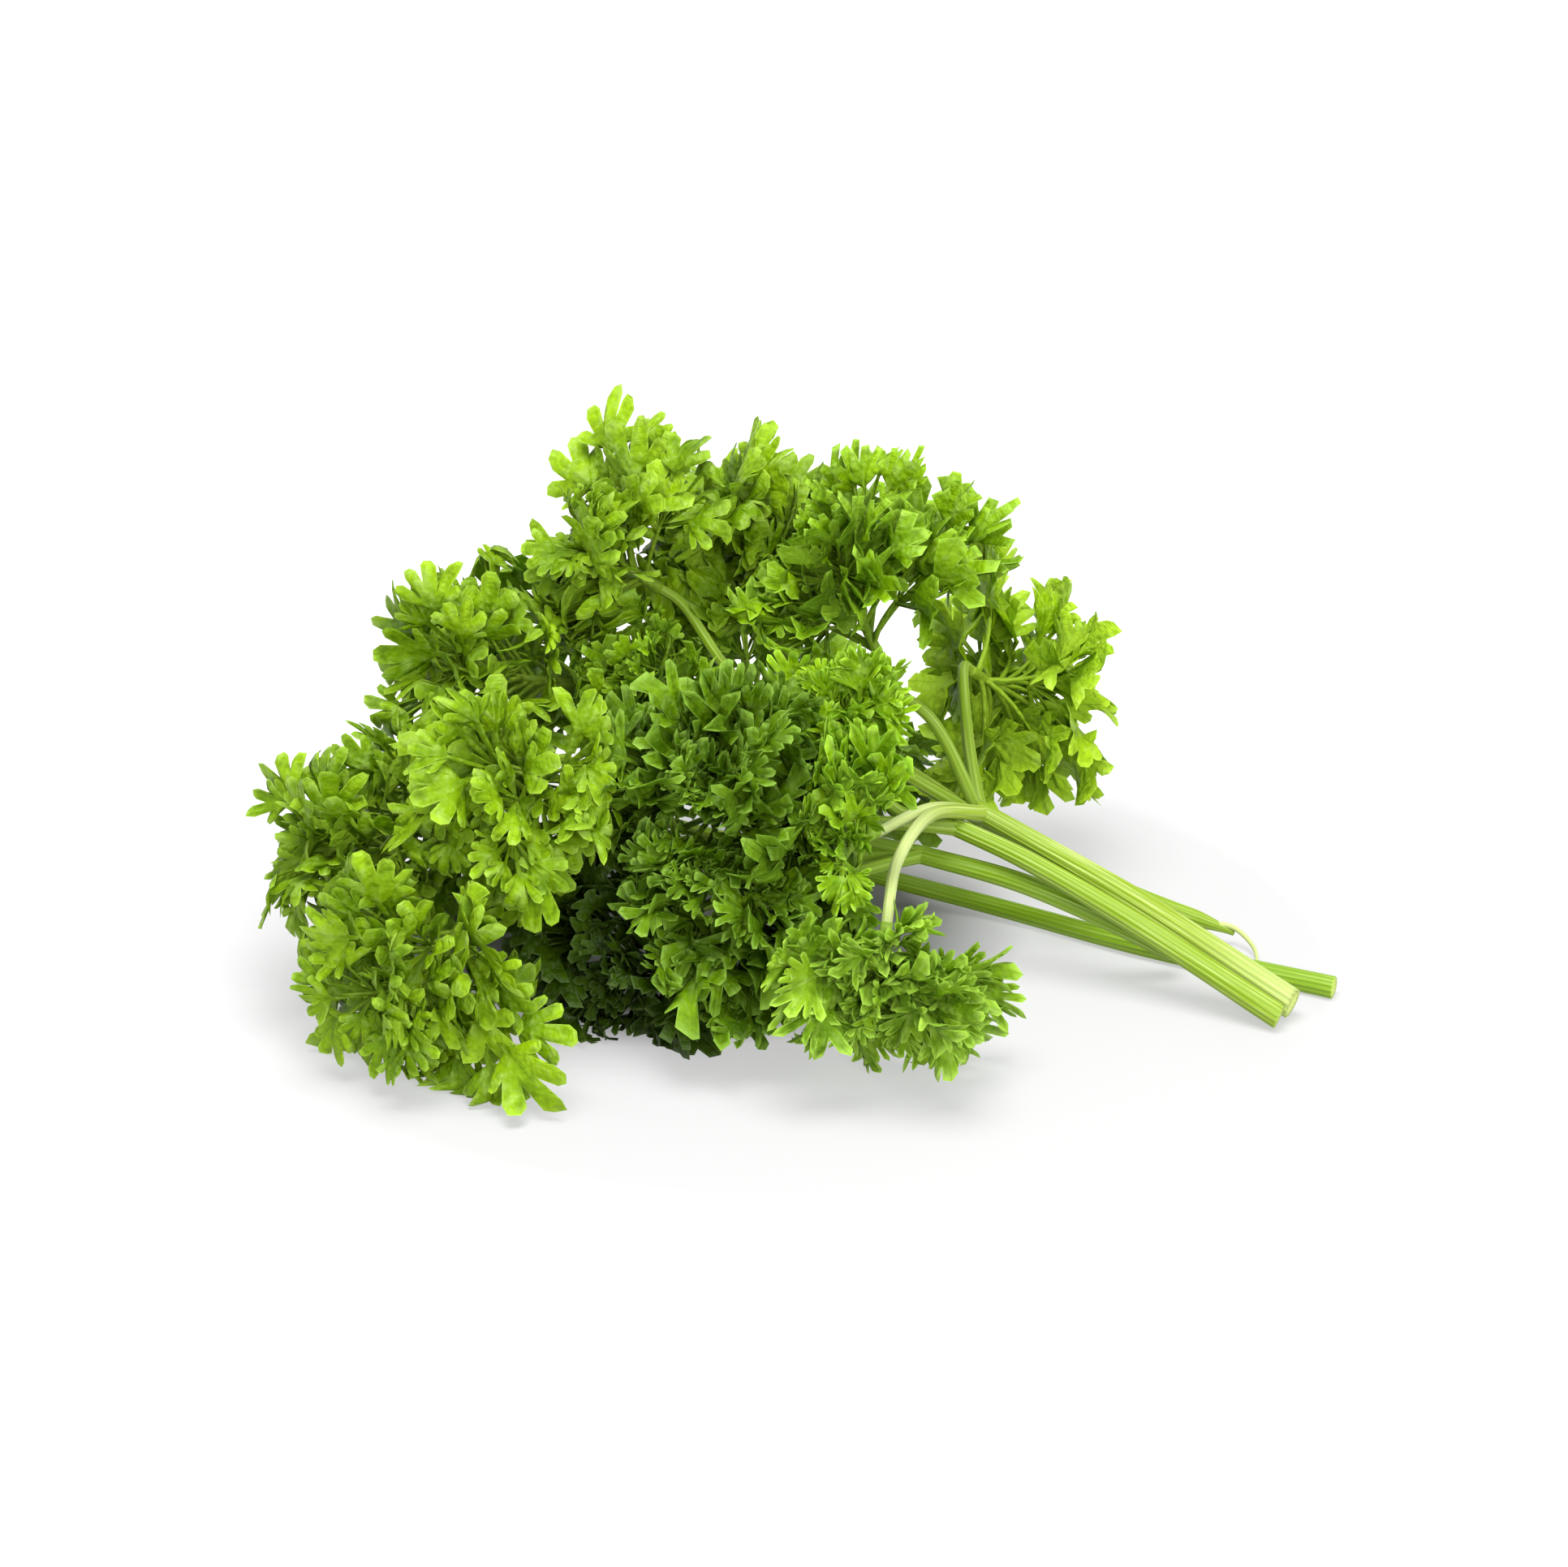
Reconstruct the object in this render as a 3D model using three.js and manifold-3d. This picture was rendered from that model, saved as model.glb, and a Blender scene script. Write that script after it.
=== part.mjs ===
// A bunch of curly parsley lying on a table: five leaf stalks whose cut ends lie together, and the sprays of leaf
// that their branches carry. Millimetres, +Z up, the table at z = 0, the cut ends towards +X.
import * as THREE from "three";
import { mergeVertices } from "three/addons/utils/BufferGeometryUtils.js";
import Module from "manifold-3d";

const wasm = await Module();
wasm.setup();

// ---- Driving dimensions ----
const BLADE_THICKNESS = 0.7;
const BASE_WIDTH = 1.7; // of a pinna's own stalk
const RACHIS_RADII = [1.2, 0.9]; // of the midrib inside a spray
const RACHIS_SHARE = 0.5; // of a spray's length that its midrib reaches
const BRANCH_RADII = [1.5, 1.2]; // of a stalk's branch, from its fork to its spray
const BRANCH_SIDES = 4;
const STALK_SIDES = 8; // a stalk is ribbed: every second corner stands out
const RIB_DEPTH = 0.16; // share of the stalk's radius
const CLEARANCE = 0.35; // between two pieces that lie against each other

const GOLDEN_ANGLE = Math.PI * (3 - Math.sqrt(5)); // round the rachis, from one pinna to the next
const LEANS = [0.35, 1.9]; // radians from the spray's axis, of its first and its last pinna
const ARCHES = [1.5, 1]; // radians that the midrib of the first and of the last pinna bends over
const FACING = 1.1; // how much the pinnae turn to the side that their spray faces
const FINGERS = 5; // finger lobes on one pinna
const FINGER_TIP = 0.52; // width of a finger's blunt end, as a share of the finger
const NOTCH = 0.52; // of the fan's radius, to the cuts between its fingers
const FAN_HALF_ANGLE = 1.3; // radians, from a pinna's midrib to the side of its fan
const FAN_SHARE = 0.64; // of a pinna's length that its fan takes; the rest is its stalk
const RUFFLE = 0.34; // radians that the margin of the most ruffled fan lifts

const FREE_SHARE = 0.8; // of the way to its walls that a spray fills before it is drawn in
const TABLE_CONTACT = -0.1; // height at which a pressed blade's middle lies, so that the table trims it flat
const BUNCH_CENTRE = [1.7, 1]; // this point of the layout below becomes the origin

// Leaf stalks, each from its cut end on the table up to its fork in the bunch, with the radii at those two ends.
const STALKS = {
  stalk_front: {
    radii: [2.9, 1.9],
    route: [[79.5, -25, 2.7], [55.8, -13, 15], [31, 0, 25.5]],
  },
  stalk_beside: {
    radii: [2.4, 1.7],
    route: [[76, -30, 2.6], [53.2, -16.8, 12], [37.8, -10, 18.5], [25, -4, 21.5]],
  },
  stalk_under: {
    radii: [2.2, 1.7],
    route: [[67, -17.5, 2.5], [57.1, -13, 6.4], [38.1, -7, 13.6], [21, -2, 17.5]],
  },
  stalk_low: {
    radii: [2.3, 1.6],
    route: [[87.2, -16.7, 1.7], [58.6, -0.6, 1.8], [31.8, 17.1, 2.4], [-6, 24, 10]],
  },
  stalk_torn: {
    radii: [1.9, 1.4],
    route: [[73.7, 4.4, 2.2], [56.4, 4, 9.4], [30.7, 5, 22.6]],
  },
};

// Sprays. root is where the branch meets the spray, after the bends in via, and tip is the far end of its axis.
// face is the side that its pinnae turn to, breadth half its width, flat how flat it lies (1 is round) and wave
// how strongly its margins ruffle.
const SPRAYS = {
  spray_top: {
    stalk: "stalk_torn", via: [[16.5, 6, 31], [-7, 6, 45]], root: [-17, 9, 59], tip: [-21, 13, 85],
    face: [-0.2, -1, 0.2], pinnae: 8, breadth: 31, flat: 0.8, wave: 0.5,
  },
  spray_top_left: {
    stalk: "stalk_torn", via: [[16.5, 6, 31], [-9, 6, 40]], root: [-33, 5, 46], tip: [-68, -1, 53],
    face: [-0.3, -0.7, 0.7], pinnae: 8, breadth: 26, flat: 0.9, wave: 0.5,
  },
  spray_left: {
    stalk: "stalk_under", via: [[4, -2, 18], [-28, -8, 20]], root: [-50, -12, 25], tip: [-86, -20, 20],
    face: [-0.4, -0.6, 0.8], pinnae: 8, breadth: 26, flat: 0.9, wave: 0.5,
  },
  spray_left_hand: {
    stalk: "stalk_under", via: [[4, -2, 19], [-22, -8, 28]], root: [-36, -18, 39], tip: [-47, -46, 34],
    face: [0, -0.8, 0.6], pinnae: 8, breadth: 25, flat: 0.8, wave: 0.4,
  },
  spray_front_left: {
    stalk: "stalk_under", via: [[2, -4, 16], [-26, -12, 16]], root: [-44, -27, 19], tip: [-66, -60, 4],
    face: [-0.2, -0.6, 0.8], pinnae: 8, breadth: 34, flat: 0.7, wave: 0.4,
  },
  spray_middle: {
    stalk: "stalk_under", via: [[2, 0, 24]], root: [-14, 0, 38], tip: [-26, -8, 62],
    face: [-0.2, -0.8, 0.6], pinnae: 6, breadth: 23, flat: 0.9, wave: 0.6,
  },
  spray_heart: {
    stalk: "stalk_beside", via: [[12, -6, 26]], root: [-8, -14, 34], tip: [-16, -46, 50],
    face: [0, -0.6, 0.8], pinnae: 8, breadth: 26, flat: 1, wave: 0.9,
  },
  spray_front: {
    stalk: "stalk_under", via: [[8, -10, 18]], root: [-6, -20, 20], tip: [-12, -56, 27],
    face: [0, -0.4, 0.9], pinnae: 9, breadth: 29, flat: 1, wave: 0.9,
  },
  spray_fan: {
    stalk: "stalk_beside", via: [[18, -4, 27]], root: [14, -5, 37], tip: [7, -20, 58],
    face: [0, -0.9, 0.5], pinnae: 7, breadth: 22, flat: 0.7, wave: 0.6,
  },
  spray_arch: {
    stalk: "stalk_front", via: [[24, -7, 28.5], [18.2, -16, 30]], root: [14, -24, 31], tip: [6, -46, 36],
    face: [0.2, -0.5, 0.8], pinnae: 8, breadth: 22, flat: 1, wave: 0.9,
  },
  spray_right_low: {
    stalk: "stalk_front", via: [[23.6, -10, 28.7], [17.5, -28, 28.2]], root: [15.4, -43, 24], tip: [18, -55, 7],
    face: [0.3, -0.8, 0.4], pinnae: 8, breadth: 26, flat: 0.9, wave: 0.8,
  },
  spray_top_right: {
    stalk: "stalk_torn", via: [[24, 6, 38.3]], root: [16, 10, 49], tip: [10, 15, 81],
    face: [0.1, -0.9, 0.4], pinnae: 8, breadth: 29, flat: 1, wave: 0.7,
  },
  spray_right: {
    stalk: "stalk_torn", via: [[30.1, 14, 32.5]], root: [32, 26, 38], tip: [47, 60, 15],
    face: [0.4, -0.8, 0.6], pinnae: 8, breadth: 29, flat: 0.7, wave: 0.5,
  },
  spray_crown: {
    stalk: "stalk_torn", via: [[16.5, 9, 32]], root: [0, 20, 46], tip: [-2, 30, 74],
    face: [0, -0.8, 0.4], pinnae: 6, breadth: 25, flat: 0.9, wave: 0.6,
  },
  spray_back_left: {
    stalk: "stalk_low", via: [[-14, 22, 26]], root: [-24, 20, 38], tip: [-50, 44, 38],
    face: [-0.3, 0.4, 0.9], pinnae: 7, breadth: 29, flat: 0.9, wave: 0.6,
  },
  spray_back: {
    stalk: "stalk_low", via: [[-5, 28, 18]], root: [-3, 34, 28], tip: [-12, 66, 32],
    face: [0, 0.4, 0.9], pinnae: 7, breadth: 30, flat: 0.9, wave: 0.7,
  },
  spray_back_low: {
    stalk: "stalk_low", via: [[-1, 31, 12]], root: [8, 38, 13], tip: [22, 68, 6],
    face: [0.2, 0.3, 0.9], pinnae: 6, breadth: 24, flat: 0.7, wave: 0.6,
  },
  spray_left_low: {
    stalk: "stalk_low", via: [[-24, 14, 14]], root: [-42, 7, 15], tip: [-76, 13, 9],
    face: [-0.4, 0.2, 0.9], pinnae: 7, breadth: 26, flat: 0.8, wave: 0.6,
  },
  spray_inner: {
    stalk: "stalk_under", via: [[2, -5, 14]], root: [-20, -14, 12], tip: [-34, -42, 8],
    face: [0, -0.5, 0.9], pinnae: 5, breadth: 22, flat: 0.8, wave: 0.8,
  },
};

const vec = (p) => new THREE.Vector3(p[0], p[1], p[2]);
const mix = (a, b, t) => a + (b - a) * t;

// A fixed pseudo-random number from -1 to 1: the index-th draw of a seed.
function draw(seed, index) {
  const s = Math.sin(seed * 12.9898 + index * 78.233) * 43758.5453;
  return 2 * (s - Math.floor(s)) - 1;
}

// ---- Solids ----
function solidOf(positions, triangles) {
  const raw = new THREE.BufferGeometry();
  raw.setAttribute("position", new THREE.BufferAttribute(new Float32Array(positions), 3)).setIndex(triangles);
  const merged = mergeVertices(raw, 1e-4);
  return new wasm.Manifold(new wasm.Mesh({
    numProp: 3,
    vertProperties: merged.attributes.position.array,
    triVerts: new Uint32Array(merged.index.array),
  }));
}

// A tapered tube along a smooth curve, with closed ends. grow makes it thicker and longer all round.
function tube(points, radii, sides, steps, grow = 0, ribDepth = 0) {
  const curve = new THREE.CatmullRomCurve3(points);
  const frames = curve.computeFrenetFrames(steps, false);
  const positions = [];
  const triangles = [];
  for (let i = 0; i <= steps; i++) {
    const overrun = i === 0 ? -grow : i === steps ? grow : 0;
    const centre = curve.getPointAt(i / steps).addScaledVector(frames.tangents[i], overrun);
    for (let k = 0; k < sides; k++) {
      const turn = (2 * Math.PI * k) / sides;
      const rib = grow || k % 2 === 0 ? 1 : 1 - ribDepth;
      const radius = mix(radii[0], radii[1], i / steps) * rib + grow;
      const corner = centre.clone()
        .addScaledVector(frames.normals[i], radius * Math.cos(turn))
        .addScaledVector(frames.binormals[i], radius * Math.sin(turn));
      positions.push(corner.x, corner.y, corner.z);
    }
  }
  for (let i = 0; i < steps; i++)
    for (let k = 0; k < sides; k++) {
      const a = i * sides + k;
      const b = i * sides + ((k + 1) % sides);
      triangles.push(a, b, b + sides, a, b + sides, a + sides);
    }
  const last = steps * sides;
  for (let k = 1; k < sides - 1; k++) triangles.push(0, k + 1, k, last, last + k, last + k + 1);
  return solidOf(positions, triangles);
}

// ---- Leaves ----
// The corners of a fan's outline, from one side to the other: across runs from -1 to 1, out is the share of the
// fan's radius. The fingers have blunt ends, but for the pointed outer two.
function fanOutline() {
  const corners = [];
  const fingerWidth = 2 / FINGERS;
  for (let k = 0; k < FINGERS; k++) {
    const middle = (k + 0.5) * fingerWidth - 1;
    const half = (FINGER_TIP * fingerWidth) / 2;
    const ends = k === 0 || k === FINGERS - 1 ? [Math.sign(middle)] : [-1, 1];
    for (const end of ends) corners.push([middle + end * half, 1 - 0.22 * middle ** 2]);
    if (k < FINGERS - 1) corners.push([middle + fingerWidth / 2, NOTCH]);
  }
  return corners;
}
const FAN_OUTLINE = fanOutline();

// A point of a pinna's fan, which ruffles out of its plane more and more towards the margin.
function fanPoint(pinna, across, out) {
  const r = out * pinna.length * FAN_SHARE;
  const lift = pinna.wave * out * Math.sin(pinna.waves * Math.PI * across + pinna.phase);
  const side = r * Math.cos(lift) * Math.sin(across * FAN_HALF_ANGLE);
  const along = r * Math.cos(lift) * Math.cos(across * FAN_HALF_ANGLE) + pinna.length * (1 - FAN_SHARE);
  return bentPoint(pinna, side, along, r * Math.sin(lift));
}

// A point of a pinna, given on the flat. The midrib bends back evenly over its whole length.
function bentPoint(pinna, side, along, rise) {
  const curve = pinna.arch / pinna.length;
  const turn = along * curve;
  return pinna.base.clone()
    .addScaledVector(pinna.side, side)
    .addScaledVector(pinna.along, Math.sin(turn) * (1 / curve + rise))
    .addScaledVector(pinna.face, Math.cos(turn) * (1 / curve + rise) - 1 / curve);
}

// A pinna as one closed blade: the same triangles on both faces, and a wall round its margin.
function pinnaSolid(pinna, place) {
  const rim = FAN_OUTLINE.length;
  const fanStart = pinna.length * (1 - FAN_SHARE);
  const points = FAN_OUTLINE.map(([across, out]) => fanPoint(pinna, across, out));
  for (const along of [fanStart, 0])
    for (const s of [1, -1]) points.push(bentPoint(pinna, (s * BASE_WIDTH) / 2, along, 0));
  points.push(fanPoint(pinna, 0, 0.35));
  const middle = points.map(place);
  const [right, left, baseRight, baseLeft, rib] = [0, 1, 2, 3, 4].map((k) => rim + k);
  const faces = [[baseLeft, baseRight, right], [baseLeft, right, left], [left, right, rib]];
  faces.push([left, rib, 0], [right, rim - 1, rib]);
  for (let k = 0; k < rim - 1; k++) faces.push([k, rib, k + 1]);
  const normals = middle.map(() => new THREE.Vector3());
  for (const [a, b, c] of faces) {
    const normal = middle[b].clone().sub(middle[a]).cross(middle[c].clone().sub(middle[a]));
    for (const k of [a, b, c]) normals[k].add(normal);
  }
  const positions = [];
  for (const s of [0.5, -0.5])
    middle.forEach((p, k) => {
      const q = p.clone().addScaledVector(normals[k].normalize(), s * BLADE_THICKNESS);
      positions.push(q.x, q.y, q.z);
    });
  const n = middle.length;
  const triangles = [];
  for (const [a, b, c] of faces) triangles.push(a, b, c, n + a, n + c, n + b);
  const loop = [...FAN_OUTLINE.keys(), right, baseRight, baseLeft, left];
  loop.forEach((a, k) => {
    const b = loop[(k + 1) % loop.length];
    triangles.push(a, b, n + b, a, n + b, n + a);
  });
  return solidOf(positions, triangles);
}

// The frame of a spray: its axis from root to tip, the side that it faces, and the third direction across.
function sprayFrame(spray) {
  const root = vec(spray.root);
  const axis = vec(spray.tip).sub(root);
  const reach = axis.length();
  axis.normalize();
  const face = vec(spray.face).addScaledVector(axis, -vec(spray.face).dot(axis)).normalize();
  return { root, axis, reach, face, across: axis.clone().cross(face) };
}

// The pinnae of a spray, in a spiral from the end of the rachis to its foot. Each grows out from the rachis and
// then bends over, so that its fan lies on an egg-shaped outline with its upper face outwards.
function pinnaeOf(spray, seed) {
  const { root, axis, reach, face, across } = sprayFrame(spray);
  const pinnae = [];
  for (let k = 0; k < spray.pinnae; k++) {
    const rank = k / (spray.pinnae - 1);
    const lean = mix(LEANS[0], LEANS[1], rank) + 0.15 * draw(seed, k);
    const turn = GOLDEN_ANGLE * k + seed + 0.2 * draw(seed, k + 50);
    const outward = axis.clone().multiplyScalar(Math.cos(lean))
      .addScaledVector(face, Math.sin(lean) * Math.cos(turn))
      .addScaledVector(across, Math.sin(lean) * Math.sin(turn));
    const tip = root.clone().addScaledVector(axis, reach * (0.42 + 0.52 * Math.cos(lean)))
      .addScaledVector(face, spray.breadth * spray.flat * Math.sin(lean) * Math.cos(turn))
      .addScaledVector(across, spray.breadth * Math.sin(lean) * Math.sin(turn));
    const base = root.clone().addScaledVector(axis, reach * RACHIS_SHARE * (1 - 0.85 * rank));
    const chord = tip.sub(base);
    const straight = chord.clone().normalize();
    const upper = axis.clone().addScaledVector(outward, 0.4).addScaledVector(face, FACING);
    upper.addScaledVector(straight, -upper.dot(straight)).normalize();
    upper.applyAxisAngle(straight, 0.35 * draw(seed, k + 100));
    const arch = mix(ARCHES[0], ARCHES[1], rank);
    const [c, s] = [Math.cos(arch / 2), Math.sin(arch / 2)];
    const along = straight.clone().multiplyScalar(c).addScaledVector(upper, s);
    const up = upper.clone().multiplyScalar(c).addScaledVector(straight, -s);
    pinnae.push({
      base, along, face: up, side: along.clone().cross(up), arch,
      length: (chord.length() * (arch / 2)) / s,
      wave: spray.wave * RUFFLE,
      waves: 1.6 + 0.4 * draw(seed, k + 300),
      phase: 3 * draw(seed, k + 400),
    });
  }
  return pinnae;
}

// Sprays that grow side by side bend clear of each other. Each keeps to its own side of a wall to every neighbour,
// and what would reach past it is drawn in towards the spray's middle, the more the further out it is.
const middleOf = (spray) => vec(spray.root).lerp(vec(spray.tip), 0.5);
const reachOf = (spray) => vec(spray.root).distanceTo(vec(spray.tip));
const roomOf = (spray) => (reachOf(spray) / 2 + spray.breadth) / 2;

function wallsOf(spray) {
  const middle = middleOf(spray);
  const walls = Object.values(SPRAYS).filter((other) => other !== spray).map((other) => {
    const normal = middleOf(other).sub(middle);
    const distance = normal.length();
    const share = (distance ** 2 + roomOf(spray) ** 2 - roomOf(other) ** 2) / (2 * distance);
    return { normal: normal.normalize(), reach: share - (BLADE_THICKNESS + CLEARANCE) / 2 };
  });
  return [...walls, { normal: new THREE.Vector3(0, 0, -1), reach: middle.z - TABLE_CONTACT }];
}

function bendClear(spray) {
  const middle = middleOf(spray);
  const walls = wallsOf(spray);
  return (point) => {
    const arm = point.clone().sub(middle);
    const pressed = Math.max(...walls.map(({ normal, reach }) => arm.dot(normal) / reach));
    if (pressed <= FREE_SHARE) return point.clone();
    const room = 1 - FREE_SHARE;
    const kept = FREE_SHARE + room * (1 - Math.exp((FREE_SHARE - pressed) / room));
    return middle.clone().addScaledVector(arm, kept / pressed);
  };
}

// ---- The pieces ----
const place = Object.fromEntries(Object.entries(SPRAYS).map(([name, spray]) => [name, bendClear(spray)]));

// A spray's branch, from inside its stalk at the fork, over its bends, to just short of the spray's root.
function branchRoute(name) {
  const spray = SPRAYS[name];
  const route = STALKS[spray.stalk].route.map(vec);
  const fork = route[route.length - 1];
  const inside = fork.clone().lerp(route[route.length - 2], 0.12);
  const root = place[name](vec(spray.root));
  const { axis } = sprayFrame(spray);
  return [inside, ...spray.via.map(vec), root.clone().addScaledVector(axis, -4),
    root.clone().addScaledVector(axis, -CLEARANCE)];
}

function branchSolid(name, grow) {
  const route = branchRoute(name);
  return tube(route, BRANCH_RADII, BRANCH_SIDES, route.length - 1, grow);
}

// A whole stalk with its branches. With grow it is the hollow that other pieces keep free for it.
function stalkSolid(name, grow = 0) {
  const { route, radii } = STALKS[name];
  const steps = 3 * (route.length - 1);
  let solid = tube(route.map(vec), radii, STALK_SIDES, steps, grow, RIB_DEPTH);
  for (const [sprayName, spray] of Object.entries(SPRAYS))
    if (spray.stalk === name)
      solid = solid.add(branchSolid(sprayName, grow));
  return solid;
}

// A spray: its rachis with the pinnae fused on, and room left for every stalk that passes.
function spraySolid(name, seed, stalkRoom) {
  const { root, axis, reach } = sprayFrame(SPRAYS[name]);
  const along = (share) => place[name](root.clone().addScaledVector(axis, share * reach * RACHIS_SHARE));
  const rachis = [0, 0.5, 1].map(along);
  let solid = tube(rachis, RACHIS_RADII, BRANCH_SIDES, 2);
  for (const pinna of pinnaeOf(SPRAYS[name], seed)) solid = solid.add(pinnaSolid(pinna, place[name]));
  return solid.subtract(stalkRoom);
}

// Keeps what stands above the table, and of that the largest piece.
function settled(solid) {
  const pieces = solid.trimByPlane([0, 0, 1], 0).decompose();
  return pieces.sort((a, b) => b.volume() - a.volume())[0];
}

function meshOf(name, solid, material) {
  const { vertProperties, triVerts } = solid.getMesh();
  const geometry = new THREE.BufferGeometry();
  geometry.setAttribute("position", new THREE.BufferAttribute(vertProperties, 3));
  geometry.setIndex(new THREE.BufferAttribute(triVerts, 1));
  geometry.computeVertexNormals();
  const mesh = new THREE.Mesh(geometry, material);
  mesh.name = name;
  return mesh;
}

const stalkMaterial = () => new THREE.MeshStandardMaterial({ color: 0xa3c64c, roughness: 0.45, metalness: 0 });
const leafMaterial = () => new THREE.MeshStandardMaterial({ color: 0x5c9a1c, roughness: 0.5, metalness: 0 });

const bunch = new THREE.Group();
for (const name of Object.keys(STALKS)) bunch.add(meshOf(name, settled(stalkSolid(name)), stalkMaterial()));
const stalkRoom = Object.keys(STALKS).map((name) => stalkSolid(name, CLEARANCE)).reduce((a, b) => a.add(b));
Object.keys(SPRAYS).forEach((name, index) => {
  bunch.add(meshOf(name, settled(spraySolid(name, index + 1, stalkRoom)), leafMaterial()));
});
bunch.position.set(-BUNCH_CENTRE[0], -BUNCH_CENTRE[1], 0);

export default bunch;
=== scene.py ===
"""A bunch of curly parsley lying on a table: ribbed leaf stalks and sprays of ruffled, finger-lobed leaf.

Metres and +Z up in the scene, with the table at z = 0 and the cut ends towards +X. The plan of the bunch
below is in millimetres, in a layout of its own whose point BUNCH_CENTRE is the scene's origin.
"""
import math

import bpy
import numpy as np
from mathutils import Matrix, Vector


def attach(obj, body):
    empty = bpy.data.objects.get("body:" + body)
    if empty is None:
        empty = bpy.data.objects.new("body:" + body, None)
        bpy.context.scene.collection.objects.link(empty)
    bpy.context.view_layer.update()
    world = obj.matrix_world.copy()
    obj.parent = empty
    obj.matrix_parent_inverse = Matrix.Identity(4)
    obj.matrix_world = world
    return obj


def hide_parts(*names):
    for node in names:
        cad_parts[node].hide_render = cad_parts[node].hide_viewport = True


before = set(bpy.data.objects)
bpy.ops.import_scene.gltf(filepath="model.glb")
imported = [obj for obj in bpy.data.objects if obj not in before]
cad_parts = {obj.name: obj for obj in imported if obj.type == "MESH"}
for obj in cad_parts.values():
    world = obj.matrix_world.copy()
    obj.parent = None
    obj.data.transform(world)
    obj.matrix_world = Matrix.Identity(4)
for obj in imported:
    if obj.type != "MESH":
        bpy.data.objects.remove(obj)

bl_info = {
    "name": "Curly Parsley Bunch",
    "version": (1, 0, 0),
    "blender": (4, 5, 0),
    "location": "View3D > Sidebar > Parsley",
    "description": "Builds a bunch of curly parsley with ribbed stalks and ruffled sprays",
    "category": "Add Mesh",
}

MM = 0.001
BUNCH_CENTRE = np.array([1.7, 1.0, 0.0])

# ---- The plan of the bunch, in millimetres ----
# Leaf stalks, each from its cut end on the table up to its fork, with the radii at those two ends. pale is
# how whitish the stalk is, from 0 to 1, and strand the route of the strip that a torn stalk ends in.
STALKS = {
    "stalk_front": {
        "radii": (2.45, 1.65), "pale": 0.75,
        "route": [[79.5, -25, 2.7], [55.8, -13, 15], [31, 0, 25.5]],
    },
    "stalk_beside": {
        "radii": (2.0, 1.5), "pale": 0.45,
        "route": [[77, -28.8, 2.2], [54.2, -15.8, 13.2], [37.8, -8.5, 20.6], [27, -4, 24.3]],
    },
    "stalk_under": {
        "radii": (1.9, 1.5), "pale": 0.2,
        "route": [[62, -8.5, 4.6], [55, -9, 8.6], [38.1, -7, 15.6], [21, -2, 18.8]],
    },
    "stalk_low": {
        "radii": (1.85, 1.35), "pale": 0.1,
        "route": [[87.2, -16.7, 1.7], [58.6, -0.6, 1.8], [31.8, 17.1, 2.4], [-6, 24, 10]],
    },
    "stalk_torn": {
        "radii": (1.5, 1.3), "pale": 0.4,
        "strand": [[70, 4.2, 3.9], [73.6, 4, 3.2], [76.4, 0, 1.6], [76.4, -8, 0.4]],
        "route": [[73.7, 4.4, 2.2], [56.4, 4, 9.4], [30.7, 5, 22.6]],
    },
}

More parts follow.
